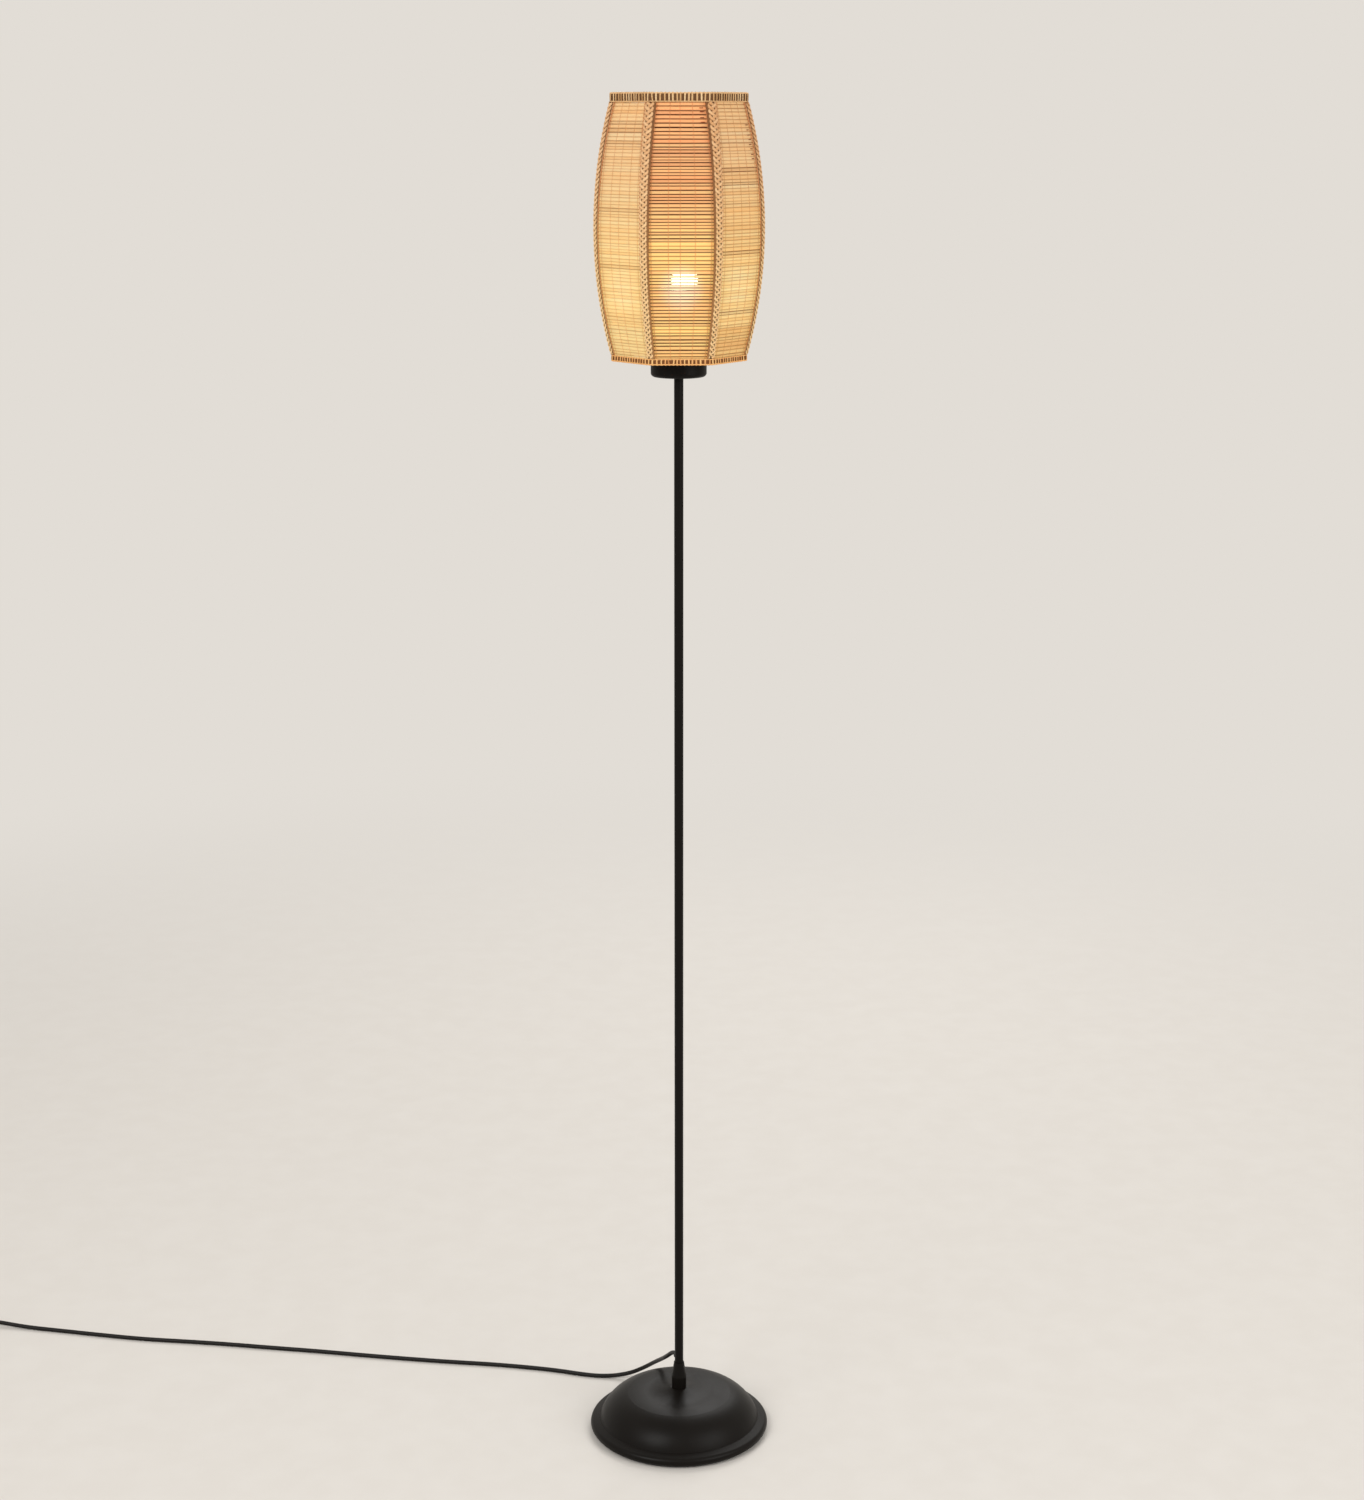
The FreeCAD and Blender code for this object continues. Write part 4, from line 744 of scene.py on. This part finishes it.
def lay_strand(strip, number, phase, tone):
    """One of the plait's strands, which swings from side to side and over and under the others."""
    turns = BAND_HEIGHT / PLAIT_PERIOD
    count = int(turns * STEPS_PER_TURN)
    line = []
    for i in range(count + 1):
        turn = 2 * math.pi * (turns * i / count + phase / STRANDS)
        height = BAND_LOW + PLAIT_MARGIN + (BAND_HEIGHT - 2 * PLAIT_MARGIN) * i / count
        half = tape_half(height)
        proud = PLAIT_PROUD + PLAIT_WAVE * math.sin(2 * turn)
        place, normal = corner_place(number, height, PLAIT_SWING * half * math.sin(turn), proud)
        line.append((place, normal, half))
    rings = []
    for i, (place, normal, half) in enumerate(line):
        ahead = (line[min(i + 1, count)][0] - line[max(i - 1, 0)][0]).normalized()
        across = ahead.cross(normal).normalized()
        wide, thick = across * (STRAND_WIDE * half), across.cross(ahead) * STRAND_THICK
        rings.append(ring(place, wide, thick, CORD_SIDES))
    # Paler towards the lower end: painted glow of the bulb.
    strip.strand(rings, [tone + PAINTED_GLOW_BELOW * (1 - i / count) for i in range(count + 1)], STRAND_EDGE_SHADE)


def lay_border(strip, number, side):
    """Twisted brown cord along one edge of the plait."""
    count = int(BAND_HEIGHT / BORDER_TWIST) * TWIST_STEPS
    rings = []
    for i in range(count + 1):
        height = BAND_LOW + BAND_HEIGHT * i / count
        place, normal = corner_place(number, height, side * (tape_half(height) - BORDER_INSET), BORDER_PROUD)
        across = normal.cross(UP).normalized()
        rings.append(ring(place, across * BORDER_WIDE, normal * BORDER_THICK, CORD_SIDES, BORDER_SWELL,
                          2 * math.pi * i / TWIST_STEPS))
    tones = [PAINTED_GLOW_BELOW * (1 - i / count) for i in range(count + 1)]
    strip.strand(rings, tones, [BORDER_EDGE] * CORD_SIDES)


def sew_down(sewing, number, side, chance):
    """Running stitches along one edge of the plait."""
    for i in range(int(BAND_HEIGHT / SEWN_PITCH)):
        rings = []
        for share, size in SEWN_PATH:
            height = BAND_LOW + SEWN_PITCH * (i + SEWN_START + share)
            place, normal = corner_place(number, height, side * (tape_half(height) + SEWN_ASIDE), SEWN_PROUD)
            across = normal.cross(UP).normalized()
            radius = SEWN_RADIUS * size
            rings.append(ring(place, across * radius, normal * radius, SEWN_SIDES))
        sewing.strand(rings, chance.uniform(*SEWN_TONES))


def tie_mat(sewing, number, chance):
    """Short dark ties in the mat beside some strips, where a thread was started."""
    highest, count = TIES.get(number, (0.0, 0))
    for i in range(count):
        height = highest - TIE_PITCH * i + chance.uniform(-TIE_STRAY, TIE_STRAY)
        start = tape_half(height) + chance.uniform(*TIE_ASIDE)
        rings = []
        for share, size in TIE_PATH:
            place, normal = corner_place(number, height, -start - TIE_LENGTH * share, TIE_PROUD)
            radius = TIE_RADIUS * size
            rings.append(ring(place, UP * radius, normal * radius, SEWN_SIDES))
        sewing.strand(rings, chance.uniform(*TIE_TONES), [TIE_EDGE] * SEWN_SIDES)


# The strips and their stitching carry the same painted glow in their emission.
cane_plait = bamboo("cane plait", srgb(146, 104, 64), srgb(216, 162, 108), srgb(248, 210, 160),
                    srgb(82, 44, 20), fibres=(500.0, 500.0, 500.0), through=0.25, lit=0.3)
red_thread = bamboo("red-brown thread", srgb(160, 86, 52), srgb(194, 118, 76), srgb(214, 146, 100),
                    srgb(110, 54, 30), fibres=(2500.0, 2500.0, 2500.0), through=0.2, lit=0.32)
for number in range(SIDES):
    chance = random.Random(STRIP_SEED + number)
    strip, sewing = Work(), Work()
    lay_tape(strip, number)
    for phase in range(STRANDS):
        lay_strand(strip, number, phase, chance.uniform(*STRAND_TONES))
    if number in WARM_MATS:
        lay_border(strip, number, -1)
    if (number + 1) % SIDES in WARM_MATS:
        lay_border(strip, number, 1)
    for side in (-1, 1):
        sew_down(sewing, number, side, chance)
    tie_mat(sewing, number, chance)
    strip.piece(f"plaited_strip_{number + 1}", cane_plait, "plait", f"corner_trim_{number + 1}")
    sewing.piece(f"strip_stitching_{number + 1}", red_thread, "plait")

# Bound edges
# The mats' ends are folded over the frame's rings under a strip of cane with a cord along each of its edges.
# Split cane is sewn over all of this in upright stitches, from the outer face over the edge to the inside.
EDGE_SHARPNESS, CORNER_ROUNDING = 60, 1.096  # of the plan's corners
CORNER_SWELL, SWELL_REACH = 0.0005, 0.09  # the binding is a little thicker at a corner, over this angle
FACING_SHARPNESS = 6  # how late the stitches turn towards a corner
STRIP_STEPS = 12  # along each side
STRIP_TONE, STRIP_EDGE = 0.15, 0.75
EDGE_CORD_OUT = 0.00155
RIM_CORD_DEPTH, RIM_CORD_RADIUS = 0.00075, 0.00072
HEM_CORD_RADIUS = 0.00055
EDGE_CORD_TWIST, EDGE_CORD_SWELL = 0.0042, 0.22
EDGE_CORD_TONE = 0.7
STITCHES_PER_SIDE = 15
STITCH_STRAY, STITCH_SLANT = 0.004, 0.006  # shares of a side
STITCH_HALF = (0.0008, 0.0011)  # half the width, from the narrowest to the widest
STITCH_THICK = 0.00038
STITCH_TONE, STITCH_TONE_SPREAD, STITCH_TONE_LOWEST = 0.66, 0.18, 0.05
STITCH_EDGES = [0.6, 0.05, 0.0, 0.05, 0.6, 1.0, 1.0, 1.0]  # round a stitch, darkest underneath


def strip_section(deep):
    """Section of the strip that is folded over an edge: out from the mats, and in from the edge."""
    return [(0.00005, deep - 0.0001), (0.0012, deep - 0.0001), (0.0015, deep - 0.0009), (0.00155, 0.0016),
            (0.0012, 0.0005), (0.0002, 0.00015), (-0.0056, 0.0002), (-0.0061, 0.0008), (-0.0056, 0.00145),
            (0.00005, 0.0015)]


def stitch_path(deep):
    """Way of a stitch: out from the mats, in from the edge, and share of its full size."""
    return [(0.0015, deep - 0.0002, 0.3), (0.00185, deep - 0.0008, 0.9), (0.0020, deep * 0.7, 1.0),
            (0.00205, deep * 0.45, 1.0), (0.00205, 0.0018, 1.0), (0.0016, 0.0004, 1.0),
            (0.0002, -0.00005, 1.0), (-0.0020, -0.00005, 0.95), (-0.0044, 0.0001, 0.8),
            (-0.0059, 0.0005, 0.3)]


def edge_place(share, out, height):
    """Point along the edge of the shade's plan, by number of sides from the front one, and how it faces."""
    number = math.floor(share)
    outward, sideways = side_axes(number)
    turn = (share - number - 0.5) * 2 * CORNER
    rounded = math.cos(turn) ** EDGE_SHARPNESS + CORNER_ROUNDING**-EDGE_SHARPNESS
    reach = (END_APOTHEM + out) * rounded ** (-1 / EDGE_SHARPNESS)
    reach += CORNER_SWELL * math.exp(-(((CORNER - abs(turn)) / SWELL_REACH) ** 2))
    bend = turn * (abs(turn) / CORNER) ** FACING_SHARPNESS
    place = (outward * math.cos(turn) + sideways * math.sin(turn)) * reach + UP * height
    return place, outward * math.cos(bend) + sideways * math.sin(bend)


def bind_strip(strip, edge, inward, deep):
    """Strip folded over one edge, with a twisted cord along each of its own edges."""
    section = strip_section(deep)
    rings = []
    for i in range(SIDES * STRIP_STEPS):
        rings.append([edge_place(i / STRIP_STEPS, out, edge + inward * depth)[0] for out, depth in section])
    strip.strand(rings, STRIP_TONE, [STRIP_EDGE] * len(section), closed=True)
    around = 2 * SIDES * math.tan(CORNER) * END_APOTHEM
    count = round(around / EDGE_CORD_TWIST) * TWIST_STEPS
    cords = ((RIM_CORD_DEPTH, RIM_CORD_RADIUS), (deep - HEM_CORD_RADIUS, HEM_CORD_RADIUS))
    for depth, radius in cords:
        rings = []
        for i in range(count):
            place, facing = edge_place(SIDES * i / count, EDGE_CORD_OUT, edge + inward * depth)
            rings.append(ring(place, facing * radius, UP * radius, CORD_SIDES, EDGE_CORD_SWELL,
                              2 * math.pi * i / TWIST_STEPS))
        strip.strand(rings, EDGE_CORD_TONE, closed=True)


def bind_stitches(stitches, edge, inward, deep, chance):
    """Split cane stitches over one edge."""
    path = stitch_path(deep)
    last = len(path) - 1
    for i in range(SIDES * STITCHES_PER_SIDE):
        share = (i + 0.5) / STITCHES_PER_SIDE + chance.gauss(0.0, STITCH_STRAY)
        slant = chance.gauss(0.0, STITCH_SLANT)
        half = chance.uniform(*STITCH_HALF)
        tone = held(chance.gauss(STITCH_TONE, STITCH_TONE_SPREAD), STITCH_TONE_LOWEST)
        line = [edge_place(share + slant * (1 - 2 * k / last), out, edge + inward * depth)
                for k, (out, depth, _) in enumerate(path)]
        rings = []
        for k, (place, facing) in enumerate(line):
            size = path[k][2]
            ahead = (line[min(k + 1, last)][0] - line[max(k - 1, 0)][0]).normalized()
            across = facing.cross(UP).normalized()
            proud = across.cross(ahead).normalized() * inward
            rings.append(ring(place, across * (half * size), proud * (STITCH_THICK * size), CORD_SIDES))
        stitches.strand(rings, tone, STITCH_EDGES)


upper_cane = bamboo("upper edge cane", srgb(140, 104, 66), srgb(216, 172, 118), srgb(246, 214, 164),
                    srgb(84, 48, 22), fibres=(900.0, 900.0, 300.0), through=0.25, lit=0.26)
# The lower cane is a warmer, redder copy of the upper one: painted glow of the bulb shining through it.
lower_cane_painted_glow = bamboo("lower edge cane with painted glow", srgb(150, 98, 56), srgb(226, 164, 104), srgb(252, 206, 142),
                    srgb(92, 46, 18), fibres=(900.0, 900.0, 300.0), through=0.25, lit=0.28)
# Name, height, way in, depth of the strip, seed and cane of each edge.
BOUND_EDGES = [("bottom", SHADE_LOW, 1.0, BAND_LOW - SHADE_LOW, 7, lower_cane_painted_glow),
               ("top", SHADE_HIGH, -1.0, SHADE_HIGH - BAND_HIGH, 8, upper_cane)]
for label, edge, inward, deep, seed, cane in BOUND_EDGES:
    strip, stitches = Work(), Work()
    bind_strip(strip, edge, inward, deep)
    bind_stitches(stitches, edge, inward, deep, random.Random(seed))
    strip.piece(f"{label}_edge_strip", cane, "stitched_edge", f"{label}_binding")
    stitches.piece(f"{label}_edge_stitches", cane, "stitched_edge")

# Studio
# A plain pale floor that fades into a backdrop of the same colour, a soft world and three large lamps. None
# of it is part of the lamp. The camera stands where the photograph was taken from, and looks a little down.
PALE = srgb(226, 221, 214)
FLOOR_HALF = 30.0
FADE_FROM, FADE_TO = 1.3, 3.2  # from the lamp's foot
WORLD_COLOUR, WORLD_STRENGTH = (1.0, 0.98, 0.95, 1.0), 0.45
LAMPS = [("key lamp", (-2.2, -2.6, 3.0), 2.2, 80.0),  # name, place, size and power
         ("fill lamp", (2.6, -2.0, 2.2), 2.4, 50.0),
         ("back lamp", (0.6, 2.8, 2.8), 2.0, 50.0)]
LAMPS_AIM = Vector((0.0, 0.0, 0.8))
EYE = (0.0035, -2.774, 1.5)
EYE_DOWN = math.radians(13.8)
EYE_LENS, EYE_SENSOR = 62.2, 36.0  # millimetres, as a camera takes them
bpy.context.scene.view_settings.view_transform = "Standard"

floor_paint = speckled("pale floor", PALE, srgb(220, 214, 206), grain=30.0, unevenness=0.5, roughness=0.85,
                       skin=0.02)
floor_tree = floor_paint.node_tree
floor_place = add_node(floor_tree, "ShaderNodeTexCoord").outputs["Object"]
far = add_node(floor_tree, "ShaderNodeVectorMath", {0: floor_place}, operation="LENGTH").outputs["Value"]
faded = ranged(floor_tree, far, FADE_FROM, FADE_TO, ease="SMOOTHSTEP")
floor_rays = add_node(floor_tree, "ShaderNodeLightPath")
hidden = maths(floor_tree, "MULTIPLY", faded, floor_rays.outputs["Is Camera Ray"])
plain = add_node(floor_tree, "ShaderNodeEmission", {"Color": PALE, "Strength": 1.0})
floor_mix = add_node(floor_tree, "ShaderNodeMixShader",
                     {0: hidden, 1: floor_tree.nodes["Principled BSDF"].outputs[0], 2: plain.outputs[0]})
floor_tree.links.new(floor_mix.outputs[0], floor_tree.nodes["Material Output"].inputs["Surface"])
floor_mesh = bpy.data.meshes.new("floor")
floor_corners = [(x * FLOOR_HALF, y * FLOOR_HALF, 0.0) for x, y in ((-1, -1), (1, -1), (1, 1), (-1, 1))]
floor_mesh.from_pydata(floor_corners, [], [(0, 1, 2, 3)])
floor_mesh.materials.append(floor_paint)
floor = bpy.data.objects.new("floor", floor_mesh)
bpy.context.scene.collection.objects.link(floor)

world = bpy.data.worlds.new("studio")
bpy.context.scene.world = world
world.use_nodes = True
sky = world.node_tree
soft = sky.nodes["Background"]
soft.inputs["Color"].default_value = WORLD_COLOUR
soft.inputs["Strength"].default_value = WORLD_STRENGTH
seen = add_node(sky, "ShaderNodeBackground", {"Color": PALE, "Strength": 1.0})
rays = add_node(sky, "ShaderNodeLightPath")
shown = maths(sky, "MAXIMUM", rays.outputs["Is Camera Ray"], rays.outputs["Is Glossy Ray"])
shown = maths(sky, "MAXIMUM", shown, rays.outputs["Is Transmission Ray"])
backdrop = add_node(sky, "ShaderNodeMixShader", {0: shown, 1: soft.outputs[0], 2: seen.outputs[0]})
sky.links.new(backdrop.outputs[0], sky.nodes["World Output"].inputs["Surface"])

for name, place, size, power in LAMPS:
    lamp = bpy.data.lights.new(name, "AREA")
    lamp.size = size
    lamp.energy = power
    stand = bpy.data.objects.new(name, lamp)
    stand.location = place
    stand.rotation_euler = (LAMPS_AIM - Vector(place)).to_track_quat("-Z", "Y").to_euler()
    bpy.context.scene.collection.objects.link(stand)

eye = bpy.data.cameras.new("eye")
eye.sensor_width = EYE_SENSOR
eye.lens = EYE_LENS
camera = bpy.data.objects.new("eye", eye)
camera.location = EYE
camera.rotation_euler = (math.pi / 2 - EYE_DOWN, 0.0, 0.0)
bpy.context.scene.collection.objects.link(camera)
bpy.context.scene.camera = camera
